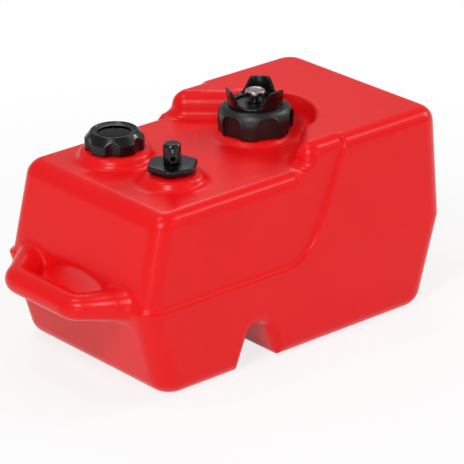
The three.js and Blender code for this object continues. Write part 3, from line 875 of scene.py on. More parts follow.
@dataclass
class Walls:
    """Drafted walls of the moulding, in metres, measured at the parting line."""

    front: float
    rear: float
    half: float
    parting: float
    upper_drafts: tuple[float, float, float] = (0.25, 0.052, 0.015)
    lower_drafts: tuple[float, float, float] = (0.268, 0.276, 0.04)

    def at(self, height: float, outset: float) -> tuple[float, float, float]:
        """Front, rear and half width at a height, pushed outwards by a distance.

        Args:
            height: The height in metres.
            outset: How far the walls are pushed outwards.

        Returns:
            Place of the front wall, place of the rear wall and half the width.
        """
        above = max(height - self.parting, 0)
        below = max(self.parting - height, 0)
        drafts = zip(self.upper_drafts, self.lower_drafts)
        inward = [above * upper + below * lower - outset for upper, lower in drafts]
        return (self.front + inward[0], self.rear - inward[1], self.half - inward[2])


@dataclass
class TankShell:
    """The blow-moulded shell, made as solids that are fused, then softened as a moulding is.

    The four blends say how far the softened places reach. front_blend is the reach before the
    front wall. root_blend is depth, rise, inner and outer place of a loop root. grip_blend is
    depth, and reach past the finger hollow's sides and top. boss_blend is the reach below the
    deck, above it and beyond a boss. overrun is how far a tool reaches past what it cuts, and
    overlap and line_sink keep the faces of different forms from coinciding.
    """

    fitter: Fitter
    length: float = 377.7 * MM
    width: float = 224.3 * MM
    parting: float = 91.4 * MM
    deck: float = 181 * MM
    raised: float = 204.8 * MM
    wall: float = 3.5 * MM
    corner: float = 21.4 * MM
    foot_rounding: float = 14.5 * MM
    deck_rounding: float = 14.4 * MM
    ledge: float = 4 * MM
    raised_front: float = 204 * MM
    nose: float = 14 * MM
    nose_inner: float = 16 * MM
    nose_rounding: float = 16 * MM
    well_place: float = 236 * MM
    well: float = 50.5 * MM
    well_turn: float = 76.7
    well_rim: float = 3 * MM
    foot_fillet: float = 10 * MM
    ledge_bend: tuple[float, float, float] = (168 * MM, 205 * MM, 215 * MM)
    ledge_rise: float = 33 * MM
    line_width: float = 2.6 * MM
    line_rise: float = 1.5 * MM
    ledge_shoulder: float = 252.5 * MM
    channel_place: float = 138.2 * MM
    channel_height: float = 44 * MM
    channel_crown: float = 13.5 * MM
    channel_lean: float = 21.0
    channel_foot: float = 10 * MM
    channel_mouth: float = 10 * MM
    grip: tuple[float, float, float] = (9 * MM, 50 * MM, 23 * MM)
    grip_lift: float = 2 * MM
    front_blend: float = 6 * MM
    root_blend: tuple[float, float, float, float] = (12 * MM, 24 * MM, 48 * MM, 102 * MM)
    grip_blend: tuple[float, float, float] = (14 * MM, 10 * MM, 8 * MM)
    boss_blend: tuple[float, float, float] = (1 * MM, 12 * MM, 3 * MM)
    neck_wall: float = 3 * MM
    bosses: dict[str, tuple[float, float]] = field(
        default_factory=lambda: {
            "filler": (37 * MM, 6.2 * MM),
            "gauge": (35.5 * MM, 10.6 * MM),
            "pickup": (30 * MM, 9.6 * MM),
        }
    )
    necks: dict[str, tuple[float, float]] = field(
        default_factory=lambda: {
            "filler": (27 * MM, 21.2 * MM),
            "gauge": (20 * MM, 19.6 * MM),
            "pickup": (15 * MM, 11.1 * MM),
        }
    )
    loop_height: float = 25 * MM
    loop_depth: float = 28 * MM
    loop_corner: float = 43.6 * MM
    loop_root: float = 80 * MM
    loop_sink: float = 24 * MM
    loop_drop: float = 0.6 * MM
    root_swell: float = 1.45
    arm_swells: tuple[tuple[float, float], ...] = ((0.55, 1.25), (0.25, 1.04))
    bar_bend: float = 0.6
    corner_steps: int = 10
    rim_steps: int = 7
    arc_steps: int = 16
    boss_steps: int = 8
    cove_steps: int = 48
    least_radius: float = 2 * MM
    overrun: float = 20 * MM
    overlap: float = 0.05 * MM
    line_sink: float = 0.1 * MM
    voxel: float = 0.9 * MM
    relaxing: int = 70
    quick_relaxing: int = 24
    most_relaxed_faces: int = 1900000
    most_faces: int = 190000

    def __post_init__(self) -> None:
        """Reads where the frame's shell stands."""
        low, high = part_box("tank_shell")
        self.loop_end = low.x
        self.front = high.x - self.length
        self.walls = Walls(self.front, high.x, self.width / 2, self.parting)
        self.places = {key: axis_of(f"{key}_gasket") for key in self.bosses}

    def drafted_block(
        self, name: str, outset: float, bottom: float, top: float
    ) -> bpy.types.Object:
        """A block with the moulding's drafted walls and rounded corners and rims.

        Args:
            name: The new object's name.
            outset: How far the walls are pushed outwards.
            bottom: Height of its underside.
            top: Height of its top.

        Returns:
            The new solid.
        """
        front, rear, half = self.walls.at(self.parting, outset)
        clear_selection()
        middle = ((front + rear) / 2, 0, (bottom + self.parting) / 2)
        bpy.ops.mesh.primitive_cube_add(size=1, location=middle)
        block = named(name)
        block.scale = (rear - front, 2 * half, self.parting - bottom)
        settle(block)
        edit(block)
        select_where(block, Pick.FACES, lambda f: f.normal.z > FACING_UP)
        lift = Vector((0, 0, top - self.parting))
        bpy.ops.mesh.extrude_region_move(TRANSFORM_OT_translate={"value": lift})
        for height in (bottom, top):
            self.fit_level(block, height, outset)
        close_edit(block)
        round_edges(block, self.corner + outset, self.corner_steps, upright_over(self.overrun))
        round_edges(block, self.foot_rounding, self.rim_steps, flat_at(bottom))
        round_edges(block, self.deck_rounding, self.rim_steps, flat_at(top))
        return block

    def fit_level(self, block: bpy.types.Object, height: float, outset: float) -> None:
        """Scales and shifts a block's end face to the drafted walls at its height.

        Args:
            block: The block, open in edit mode.
            height: Height of the end face.
            outset: How far the walls are pushed outwards.
        """
        front, rear, half = self.walls.at(height, outset)
        select_where(block, Pick.VERTS, lambda v: abs(v.co.z - height) < LEVEL)
        wide = self.walls.at(self.parting, outset)
        middle = (wide[0] + wide[1]) / 2
        ratio = ((rear - front) / (wide[1] - wide[0]), half / wide[2], 1)
        bpy.ops.transform.resize(value=ratio, center_override=(middle, 0, height))
        bpy.ops.transform.translate(value=((front + rear) / 2 - middle, 0, 0))

    def nose_ring(self, height: float, outset: float, rim_outset: float) -> list[Vector]:
        """Outline of the raised deck's front: noses, flanks and the round well between them.

        Args:
            height: Height of the outline.
            outset: How far the noses are pushed outwards.
            rim_outset: How far the well's wall is pushed outwards.

        Returns:
            The outline's corners.
        """
        side = self.width / 2 + self.overrun
        half = self.walls.at(self.deck, -self.ledge)[2]
        tip = Vector((self.raised_front + self.nose, half - self.nose))
        meet = math.radians(self.well_turn)
        reach = self.well + self.nose_inner
        inner = Vector((self.well_place + reach * math.cos(meet), reach * math.sin(meet)))
        across = tip - inner
        slope = math.atan2(across.y, across.x)
        lean = math.acos((self.nose_inner - self.nose) / across.length)
        turn = math.degrees(slope + lean)
        tip_radius = max(self.nose + outset, self.least_radius)
        inner_radius = max(self.nose_inner + outset, self.least_radius)
        flank = [
            (self.length + self.overrun, side),
            (tip.x + self.overrun, side),
            *arc_points(tip, tip_radius, 90, turn, self.arc_steps),
            *arc_points(inner, inner_radius, turn, 180 + self.well_turn, self.arc_steps),
        ]
        steps = self.cove_steps
        cove = []
        for i in range(1, steps):
            share = min(min(i, steps - i) / (steps / 3), 1)
            blend = share * share * (3 - 2 * share)
            radius = self.well - (outset * (1 - blend) + rim_outset * blend)
            angle = meet - 2 * meet * i / steps
            cove.append((self.well_place + radius * math.cos(angle), radius * math.sin(angle)))
        outline = [*flank, *cove, *[(x, -y) for x, y in reversed(flank)]]
        return [Vector((self.front + x, y, height)) for x, y in outline]

    def nose_block(self, growth: float) -> bpy.types.Object:
        """The raised deck's space, filleted at its foot and rounded at its top.

        Args:
            growth: How far the form is pushed outwards.

        Returns:
            The new solid.
        """
        steps = 9
        top = self.raised + growth
        drop = self.deck_rounding + self.foot_fillet / 2
        base = self.deck + growth
        far_out = growth + self.foot_fillet + drop
        rings = [self.nose_ring(base - drop, far_out, far_out)]
        turns = [math.pi / 2 * i / steps for i in range(steps + 1)]
        for turn in turns:
            outset = growth + self.foot_fillet * (1 - math.sin(turn))
            height = base + self.foot_fillet * (1 - math.cos(turn))
            rings.append(self.nose_ring(height, outset, outset))
        for turn in turns:
            sink = 1 - math.cos(turn)
            nose, rim = growth - self.nose_rounding * sink, growth - self.well_rim * sink
            height = top - self.nose_rounding * (1 - math.sin(turn))
            rings.append(self.nose_ring(height, nose, rim))
        return lofted("raised_deck_space", rings)

    def form(self, name: str, outset: float, growth: float) -> bpy.types.Object:
        """The outer form without its channel, loop and necks.

        Args:
            name: The new object's name.
            outset: How far its walls are pushed outwards.
            growth: How far its underside and its decks are pushed outwards.

        Returns:
            The new solid.
        """
        lap = self.overlap
        low = self.drafted_block(name, outset, -growth, self.deck + growth)
        tall = self.drafted_block("raised_deck", outset - lap, lap - growth, self.raised + growth)
        work_in(tall, self.nose_block(growth), Join.KEEP)
        return work_in(low, tall, Join.FUSE)

    def ledge_region(self, growth: float = 0) -> bpy.types.Object:
        """Everything under and behind the ledge, drawn from the side and pushed outwards.

        Args:
            growth: How far the edge of the region is pushed outwards.

        Returns:
            The new solid.
        """
        start, corner, end = (self.front + x - growth for x in self.ledge_bend)
        shoulder = self.front + self.ledge_shoulder - growth
        low = self.parting + growth
        bend_top = low + self.ledge_rise
        rise = (self.raised - bend_top) / (shoulder - end)
        left = self.loop_end - self.overrun
        right = self.walls.rear + self.overrun
        high = self.raised + self.overrun
        handles = [
            Vector((end, bend_top)),
            Vector((end - self.ledge_rise / (2 * rise), bend_top - self.ledge_rise / 2)),
            Vector((corner - (corner - start) / 4, low)),
            Vector((start, low)),
        ]
        steps = 20
        sweep = []
        for i in range(steps + 1):
            t = i / steps
            weights = ((1 - t) ** 3, 3 * t * (1 - t) ** 2, 3 * t**2 * (1 - t), t**3)
            sweep.append(sum((h * w for h, w in zip(handles, weights)), Vector((0, 0))))
        outline = [
            Vector((left, -self.overrun)),
            Vector((right, -self.overrun)),
            Vector((right, high)),
            Vector((shoulder + self.overrun / rise, high)),
            *sweep,
            Vector((left, low)),
        ]
        side = -self.width / 2 - self.overrun
        corners_at = [Vector((p.x, side, p.y)) for p in outline]
        return pulled("ledge_region", corners_at, Vector((0, -2 * side, 0)))

    def ledge_line(self) -> bpy.types.Object:
        """The narrow raised line along the ledge's edge, standing a little short of the ledge.

        Returns:
            The new solid, which overlaps the walls.
        """
        line = self.form("ledge_line_form", self.line_rise - self.ledge, -self.line_sink)
        work_in(line, self.ledge_region(self.line_width), Join.KEEP)
        return line

    def channel_arch(self, growth: float) -> list[Point]:
        """The strap channel's arch: a round crown, leaning sides and rounded feet.

        Args:
            growth: How far the form is pushed outwards.

        Returns:
            Place along the tank, from the middle of the arch, and height of each corner.
        """
        lean = math.radians(self.channel_lean)
        centre = self.channel_height - self.channel_crown
        crown = self.channel_crown + growth
        foot = self.channel_foot
        toe = (crown + foot + (centre - foot) * math.sin(lean)) / math.cos(lean)
        right = [
            (toe, -self.overrun),
            *arc_points((toe, foot), foot, -90, self.channel_lean - 180, self.corner_steps),
            *arc_points((0, centre), crown, self.channel_lean, 90, self.arc_steps),
        ]
        return [*right, *[(-x, z) for x, z in reversed(right[:-1])]]

    def channel_space(self, growth: float) -> bpy.types.Object:
        """The strap channel's space, opening out at both mouths.

        Args:
            growth: How far the form is pushed outwards.

        Returns:
            The new solid.
        """
        steps = 8
        turns = [math.pi / 2 * i / steps for i in range(steps + 1)]
        reach = self.channel_mouth
        mouth = [(-self.overrun, reach)]
        mouth += [(reach * (1 - math.cos(t)), reach * (1 - math.sin(t))) for t in turns]
        centre = self.front + self.channel_place

        def ring(side: int, depth: float, widening: float) -> list[Vector]:
            """The arch at a depth behind one side wall.

            Args:
                side: Minus one for the near wall, one for the far wall.
                depth: How deep in from the wall the ring lies.
                widening: How far the arch is wider there.

            Returns:
                The ring's corners.
            """
            places = []
            for x, z in self.channel_arch(growth + widening):
                half = self.walls.at(max(z, 0), 0)[2]
                places.append(Vector((centre + x, side * (half - depth), z)))
            return places

        near = [ring(-1, depth, widening) for depth, widening in mouth]
        far = [ring(1, depth, widening) for depth, widening in reversed(mouth)]
        return lofted("strap_channel_space", [*near, *far])

    def grip_hollow(self, growth: float) -> bpy.types.Object:
        """The hollow in the front wall that gives the fingers room behind the loop.

        Args:
            growth: How far the form is pushed outwards.

        Returns:
            The new solid.
        """
        clear_selection()
        place = (self.front, 0, self.parting + self.grip_lift)
        bpy.ops.mesh.primitive_uv_sphere_add(segments=64, ring_count=32, radius=1, location=place)
        hollow = named("finger_hollow")
        hollow.scale = [size + growth for size in self.grip]
        return settle(hollow)

    def carrying_loop(self) -> bpy.types.Object:
        """The carrying loop, an oval section swept along its arms and bar.

        Returns:
            The new solid.
        """
        bar = self.loop_end + self.loop_depth / 2
        clear_selection()
        bpy.ops.curve.primitive_bezier_circle_add(radius=1)
        oval = bpy.context.view_layer.objects.active
        oval.scale = (self.loop_depth / 2, self.loop_height / 2, 1)
        bpy.ops.object.transform_apply(scale=True)
        clear_selection()
        bpy.ops.curve.primitive_nurbs_path_add(radius=1)
        loop = bpy.context.view_layer.objects.active
        spline = loop.data.splines[0]
        root = (self.front + self.loop_sink, self.loop_root)
        corner = Vector((bar, self.loop_corner))
        arm = Vector(root) - corner
        flank = [(*root, self.root_swell)]
        flank += [(*(corner + arm * share), swell) for share, swell in self.arm_swells]
        flank += [(bar, self.loop_corner, 1.0), (bar, self.loop_corner * self.bar_bend, 1.0)]
        stations = [*flank, (bar, 0.0, 1.0), *[(x, -y, r) for x, y, r in reversed(flank)]]
        spline.points.add(len(stations) - len(spline.points))
        for point, (x, y, radius) in zip(spline.points, stations):
            point.co = (x, y, self.parting - self.loop_drop, 1)
            point.radius = radius
        spline.order_u = 3
        spline.use_endpoint_u = True
        loop.data.twist_mode = "Z_UP"
        loop.data.bevel_mode = "OBJECT"
        loop.data.bevel_object = oval
        loop.data.use_fill_caps = True
        loop.data.resolution_u = 12
        bpy.ops.object.convert(target="MESH")
        piece = named("carrying_loop")
        bpy.data.objects.remove(oval, do_unlink=True)
        edit(piece)
        return close_edit(piece)

    def boss(self, name: str, plan: Point, radius: float, top: float) -> bpy.types.Object:
        """A round boss that swells out of the low deck under a neck.

        Args:
            name: The new object's name.
            plan: The upright axis in plan.
            radius: Radius half way up.
            top: Height of its top.

        Returns:
            The new solid.
        """
        rise = (top - self.deck) / 2
        profile = [
            (0, self.deck - self.overrun),
            (radius + rise, self.deck - self.overrun),
            *arc_points((radius + rise, self.deck + rise), rise, -90, -180, self.boss_steps),
            *arc_points((radius - rise, self.deck + rise), rise, 0, 90, self.boss_steps),
            (0, top),
        ]
        return turned(name, profile, plan, STEM_STEPS)

    def neck(self, plan: Point, outer: float, top: float) -> bpy.types.Object:
        """A neck's outside, from below the deck to its rim."""
        return turned("neck", square(0, outer, self.deck - self.overrun, top), plan, STEM_STEPS)

    def fused(self) -> bpy.types.Object:
        """All outer solids brought together, with the channel and the finger hollow cut.

        Returns:
            The form with its loop, bosses and necks joined but not yet skinned.
        """
        shell = self.form("tank_moulding", -self.ledge, 0)
        proud = self.form("ledge_form", 0, -self.overlap)
        work_in(proud, self.ledge_region(), Join.KEEP)
        work_in(shell, self.ledge_line(), Join.FUSE)
        work_in(shell, proud, Join.FUSE)
        work_in(shell, self.channel_space(0), Join.CUT)
        work_in(shell, self.grip_hollow(0), Join.CUT)
        extras = [self.carrying_loop()]
        for key, plan in self.places.items():
            radius, height = self.bosses[key]
            extras.append(self.boss(f"{key}_boss", plan, radius, self.deck + height))
            outer, rim = self.necks[key]
            extras.append(self.neck(plan, outer, self.deck + rim))
        return joined([shell, *extras])

    def near_blend(self, vertex: bmesh.types.BMVert) -> bool:
        """Whether a point lies where the moulding blends softly."""
        place = vertex.co
        return self.near_root(place) or self.near_grip(place) or self.near_boss(place)

    def near_root(self, place: Vector) -> bool:
        """Whether a place is where the loop's arms grow out of the front wall.

        Args:
            place: The place in metres.

        Returns:
            True if it is.
        """
        depth, rise, inner, outer = self.root_blend
        if not -self.front_blend < place.x - self.front < depth:
            return False
        return abs(place.z - self.parting) < rise and inner < abs(place.y) < outer

    def near_grip(self, place: Vector) -> bool:
        """Whether a place is in the finger hollow or on its rim.

        Args:
            place: The place in metres.

        Returns:
            True if it is.
        """
        depth, beside, above = self.grip_blend
        if not -self.front_blend < place.x - self.front < depth:
            return False
        rise = abs(place.z - self.parting - self.grip_lift)
        return abs(place.y) < self.grip[1] + beside and rise < self.grip[2] + above

    def near_boss(self, place: Vector) -> bool:
        """Whether a place is at the foot of a boss, outside its neck.

        Args:
            place: The place in metres.

        Returns:
            True if it is.
        """
        below, above, beyond = self.boss_blend
        if not self.deck - below < place.z < self.deck + above:
            return False
        for key, plan in self.places.items():
            away = math.hypot(place.x - plan[0], place.y - plan[1])
            radius, height = self.bosses[key]
            if self.necks[key][0] + beyond < away < radius + height + beyond:
                return True
        return False

    def build(self) -> bpy.types.Object:
        """Builds, softens and dresses the shell.

        Returns:
            The finished shell.
        """
        shell = skinned(self.fused(), self.voxel, 1, self.most_relaxed_faces)
        repeat = self.relaxing
        relax_where(shell, repeat, self.near_blend)
        thinned(shell, self.most_faces)
        shell = self.hollow(shell)
        self.fitter.fit(shell, "tank_shell")
        return shell

    def hollow(self, shell: bpy.types.Object) -> bpy.types.Object:
        """Opens the shell's inside and the bores of its three necks.

        Args:
            shell: The solid moulding.

        Returns:
            The same object.
        """
        space = self.form("inside", -self.ledge - self.wall, -self.wall)
        proud = self.form("inside_ledge", -self.wall, -self.wall - self.overlap)
        region = self.ledge_region()
        region.location = (self.wall, 0, -self.wall)
        settle(region)
        work_in(proud, region, Join.KEEP)
        work_in(space, proud, Join.FUSE)
        work_in(space, self.channel_space(self.wall), Join.CUT)
        work_in(space, self.grip_hollow(self.wall), Join.CUT)
        ceiling = self.deck - 2 * self.wall
        for key, (outer, _) in self.necks.items():
            bore = square(0, outer - self.neck_wall, ceiling, self.deck + 2 * self.overrun)
            work_in(space, turned("bore", bore, self.places[key], STEM_STEPS), Join.FUSE)
        return work_in(shell, space, Join.CUT)


# Fittings


@dataclass
class FillerCap:
    """The vented filler cap: a grained dome with finger arches, its insert and its seal."""

    fitter: Fitter
    radius: float = 36.3 * MM
    top_radius: float = 27.5 * MM
    skirt: float = 13 * MM
    bore: float = 29.5 * MM
    ceiling: float = 20.1 * MM
    hub: float = 8.5 * MM
    arches: int = 6
    arch_turn: float = 8.5
    arch_width: float = 21.5 * MM
    arch_height: float = 21.5 * MM
    arch_depth: float = 4.2 * MM
    arch_shoulder: float = 8 * MM
    lip_width: float = 1.5 * MM
    lip_height: float = 0.9 * MM
    lip_root: float = 1 * MM
    slots: tuple[tuple[float, float], ...] = ((-8 * MM, 0.5 * MM), (3 * MM, 8 * MM))
    slot_height: float = 3.6 * MM
    slot_depth: float = 1.7 * MM
    foot_draft: float = 1 * MM
    curve_steps: int = 16
    plug: float = 24 * MM
    plug_wall: float = 2 * MM
    groove: tuple[float, float, float, float] = (3.4 * MM, 3 * MM, 1.6 * MM, 1.4 * MM)
    groove_depth: float = 1.3 * MM
    collar_inset: float = 0.4 * MM
    seal: tuple[float, float] = (23.9 * MM, 27 * MM)
    vent_stem: float = 4.2 * MM
    vent_hole: float = 1.8 * MM
    vent_seat: float = 1.5 * MM
    flange: float = 2.5 * MM
    running: float = 0.4 * MM
    seat_gap: float = 0.3 * MM
    overrun: float = 6 * MM
    voxel: float = 0.45 * MM
    most_faces: int = 120000

    def __post_init__(self) -> None:
        """Reads the axis and heights from the frame."""
        self.axis = axis_of("filler_gasket")
        self.bottom, self.top = span("filler_cap")
        self.reach = span("filler_insert")

    def dome_profile(self, growth: float) -> list[Point]:
        """The dome's outer curve from the skirt's foot to its crown, pushed outwards.

        Args:
            growth: How far the curve is pushed outwards.

        Returns:
            Radius and height of each point.
        """
        rise = self.top - self.bottom - self.skirt
        curve = []
        for i in range(self.curve_steps + 1):
            turn = math.pi / 2 * i / self.curve_steps
            radius = self.top_radius + (self.radius - self.top_radius) * math.cos(turn)
            height = self.bottom + self.skirt + (rise + growth) * math.sin(turn)
            curve.append((radius + growth * math.cos(turn), height))
        return [(self.radius - self.foot_draft + growth, self.bottom), *curve]

    def arch(self, growth: float) -> list[Point]:
        """A finger arch: upright sides and round shoulders.

        Args:
            growth: How far the arch is pushed outwards.

        Returns:
            The outline's corners.
        """
        half = self.arch_width / 2 + growth
        high = self.bottom + self.arch_height + growth
        low = self.bottom - self.overrun
        outline = square(-half, half, low, high)
        return rounded(outline, self.arch_shoulder + growth, closed=True, steps=6)

    def dome(self) -> bpy.types.Object:
        """Builds the dome with its lipped arches and the slots at their feet.

        The dome and its lips are cut as separate solids and joined afterwards, so that no cut
        has to work through overlapping faces.

        Returns:
            The finished dome.
        """
        ceiling = self.bottom + self.ceiling
        hub = self.hub + self.seat_gap
        inside = [(hub, self.top), (hub, ceiling), (self.bore, ceiling), (self.bore, self.bottom)]
        dome = turned("filler_cap_dome", [*self.dome_profile(0), *inside], self.axis, GRIP_STEPS)
        skin = [*self.dome_profile(self.lip_height), *inside]
        lips = turned("lip_skin", skin, self.axis, GRIP_STEPS)
        turns = [self.arch_turn + i * 360 / self.arches for i in range(self.arches)]
        flat = self.radius - self.arch_depth
        end = self.radius + self.overrun

        def around(name: str, outline: Sequence[Point], start: float) -> bpy.types.Object:
            """One outline pulled outwards at every arch, joined into one tool."""
            return joined([pointing_out(name, outline, start, end, t, self.axis) for t in turns])

        work_in(lips, around("lip", self.arch(self.lip_width), flat - self.lip_root), Join.KEEP)
        for part in (dome, lips):
            work_in(part, around("arch", self.arch(0), flat), Join.CUT)
        low, high = self.bottom - self.overrun, self.bottom + self.slot_height
        floor = flat - self.slot_depth
        slots = [
            pointing_out("slot", square(*sides, low, high), floor, end, t, self.axis)
            for t in turns
            for sides in self.slots
        ]
        work_in(dome, joined(slots), Join.CUT)
        return skinned(joined([dome, lips]), self.voxel, 1, self.most_faces)

    def insert(self) -> bpy.types.Object:
        """Builds the plug, its flange and the hub that the vent screw stands in.

        Returns:
            The finished insert.
        """
        low, top = self.reach
        flange = self.bottom + self.ceiling - self.seat_gap - self.flange
        plug = self.plug - self.running
        inner = plug - self.plug_wall
        stem = self.vent_stem + self.running
        rim = self.bore - self.running
        seat = flange + self.vent_seat
        waist, collar = self.hub - self.groove_depth, self.hub - self.collar_inset
        levels = [top - depth for depth in self.groove]
        profile = [
            (self.vent_hole, flange), (inner, flange), (inner, low), (plug, low), (plug, flange),
            (rim, flange), (rim, flange + self.flange), (self.hub, flange + self.flange),
            *zip((self.hub, waist, waist, collar), levels),
            (collar, top), (stem, top), (stem, seat), (self.vent_hole, seat),
        ]
        return turned("filler_cap_insert", profile, self.axis, rounding=0.35 * MM)

    def build(self) -> None:
        """Builds the cap and its sealing ring."""
        self.fitter.fit(self.dome(), "filler_cap")
        self.fitter.fit(self.insert(), "filler_insert")
        ring = square(*self.seal, *span("filler_gasket"))
        self.fitter.fit(turned("filler_seal", ring, self.axis, rounding=0.5 * MM), "filler_gasket")


@dataclass
class VentScrew:
    """The vent screw, its knob and the three petals that guard it."""

    fitter: Fitter
    outer: float = 26.95 * MM
    ring: float = 6.5 * MM
    base: float = 2 * MM
    flare: float = 2.2 * MM
    bend_flare: float = 0.25
    bend_height: float = 0.35
    thickness: float = 2.2 * MM
    petals: int = 3
    petal_turn: float = 38.5
    gap_foot: float = 19 * MM
    gap_top: float = 38 * MM
    gap_rounding: float = 6 * MM
    petal_rounding: float = 3.5 * MM
    knob: float = 9.6 * MM
    knob_foot: tuple[float, float] = (0.6 * MM, 1.2 * MM)
    knob_shoulder: float = 1 * MM
    knob_rim: float = 2.2 * MM
    knob_socket: float = 2.5 * MM
    socket_gap: float = 0.3 * MM
    dish_slope: float = 1 * MM
    dish_depth: float = 0.5 * MM
    stem: float = 4.2 * MM
    thread_pitch: float = 1.5 * MM
    thread_depth: float = 0.45 * MM
    thread_start: float = 0.4 * MM
    thread_end: float = 2 * MM
    thread_runout: float = 0.5 * MM
    overrun: float = 20 * MM
    voxel: float = 0.38 * MM
    most_faces: int = 90000

    def __post_init__(self) -> None:
        """Reads the axis from the frame."""
        self.axis = axis_of("filler_gasket")

    def guard(self) -> bpy.types.Object:
        """Builds the guard: a ring with three flared petals, parted by gaps with round feet.

        Returns:
            The finished guard.
        """
        low, tip = span("vent_guard")
        root = low + self.base
        outer, wall = self.outer, self.thickness
        bend = outer + self.flare * self.bend_flare
        height = root + self.bend_height * (tip - root)
        profile = [
            (outer - self.ring, low), (outer, low), (bend, height), (outer + self.flare, tip),
            (outer + self.flare - wall, tip), (bend - wall, height), (outer - wall, root),
            (outer - self.ring, root),
        ]
        guard = turned("vent_guard_petals", profile, self.axis, GRIP_STEPS)
        foot, top = self.gap_foot / 2, self.gap_top / 2
        wide, high = top + self.overrun, tip + self.overrun
        half = [(foot, root), (top, tip), (wide, tip), (wide, high)]
        sizes = [self.gap_rounding, self.petal_rounding, 0.0, 0.0]
        mirrored = [(-x, z) for x, z in reversed(half)]
        sizes = [*sizes, *reversed(sizes)]
        outline = rounded([*half, *mirrored], sizes, closed=True, steps=8)
        for i in range(self.petals):
            turn = self.petal_turn + (i + 0.5) * 360 / self.petals
            gap = pointing_out("petal_gap", outline, 0, outer + self.overrun, turn, self.axis)
            work_in(guard, gap, Join.CUT)
        return skinned(guard, self.voxel, 1, self.most_faces)

    def knob_disc(self) -> bpy.types.Object:
        """Builds the knob: a coin with a soft rim, a shallow dish and a socket for the stem.

        Returns:
            The finished knob.
        """
        low, top = span("vent_knob")
        socket = self.stem + self.socket_gap
        ceiling = low + self.knob_socket
        inset, rise = self.knob_foot
        dish, floor = self.knob - self.knob_rim, top - self.dish_depth
        profile = [
            (0, ceiling), (socket, ceiling), (socket, low), (self.knob - inset, low),
            (self.knob, low + rise), (self.knob, top - self.knob_shoulder),
            (self.knob - self.knob_shoulder, top), (dish, top), (dish - self.dish_slope, floor),
            (0, floor),
        ]
        return turned("vent_knob_disc", profile, self.axis, rounding=0.7 * MM)

    def threaded_stem(self) -> bpy.types.Object:
        """Builds the stem with its thread.

        Returns:
            The finished stem.
        """
        low, top = span("vent_stem")
        core = self.stem - self.thread_depth
        profile = [(0, low), (core, low)]
        height = low + self.thread_start
        while height + self.thread_pitch < top - self.thread_end:
            profile += [(core, height), (self.stem, height + self.thread_pitch / 2)]
            height += self.thread_pitch
        profile += [(core, height), (self.stem, height + self.thread_runout)]
        profile += [(self.stem, top), (0, top)]
        return turned("vent_screw_stem", profile, self.axis, STEM_STEPS, rounding=0.15 * MM)

    def build(self) -> None:
        """Builds the guard, the knob, the stem and the seal."""
        self.fitter.fit(self.guard(), "vent_guard")
        self.fitter.fit(self.knob_disc(), "vent_knob")
        self.fitter.fit(self.threaded_stem(), "vent_stem")
        disc = square(0, self.stem, *span("vent_seal"))
        seal = turned("vent_seal_disc", disc, self.axis, STEM_STEPS, rounding=0.4 * MM)
        self.fitter.fit(seal, "vent_seal")


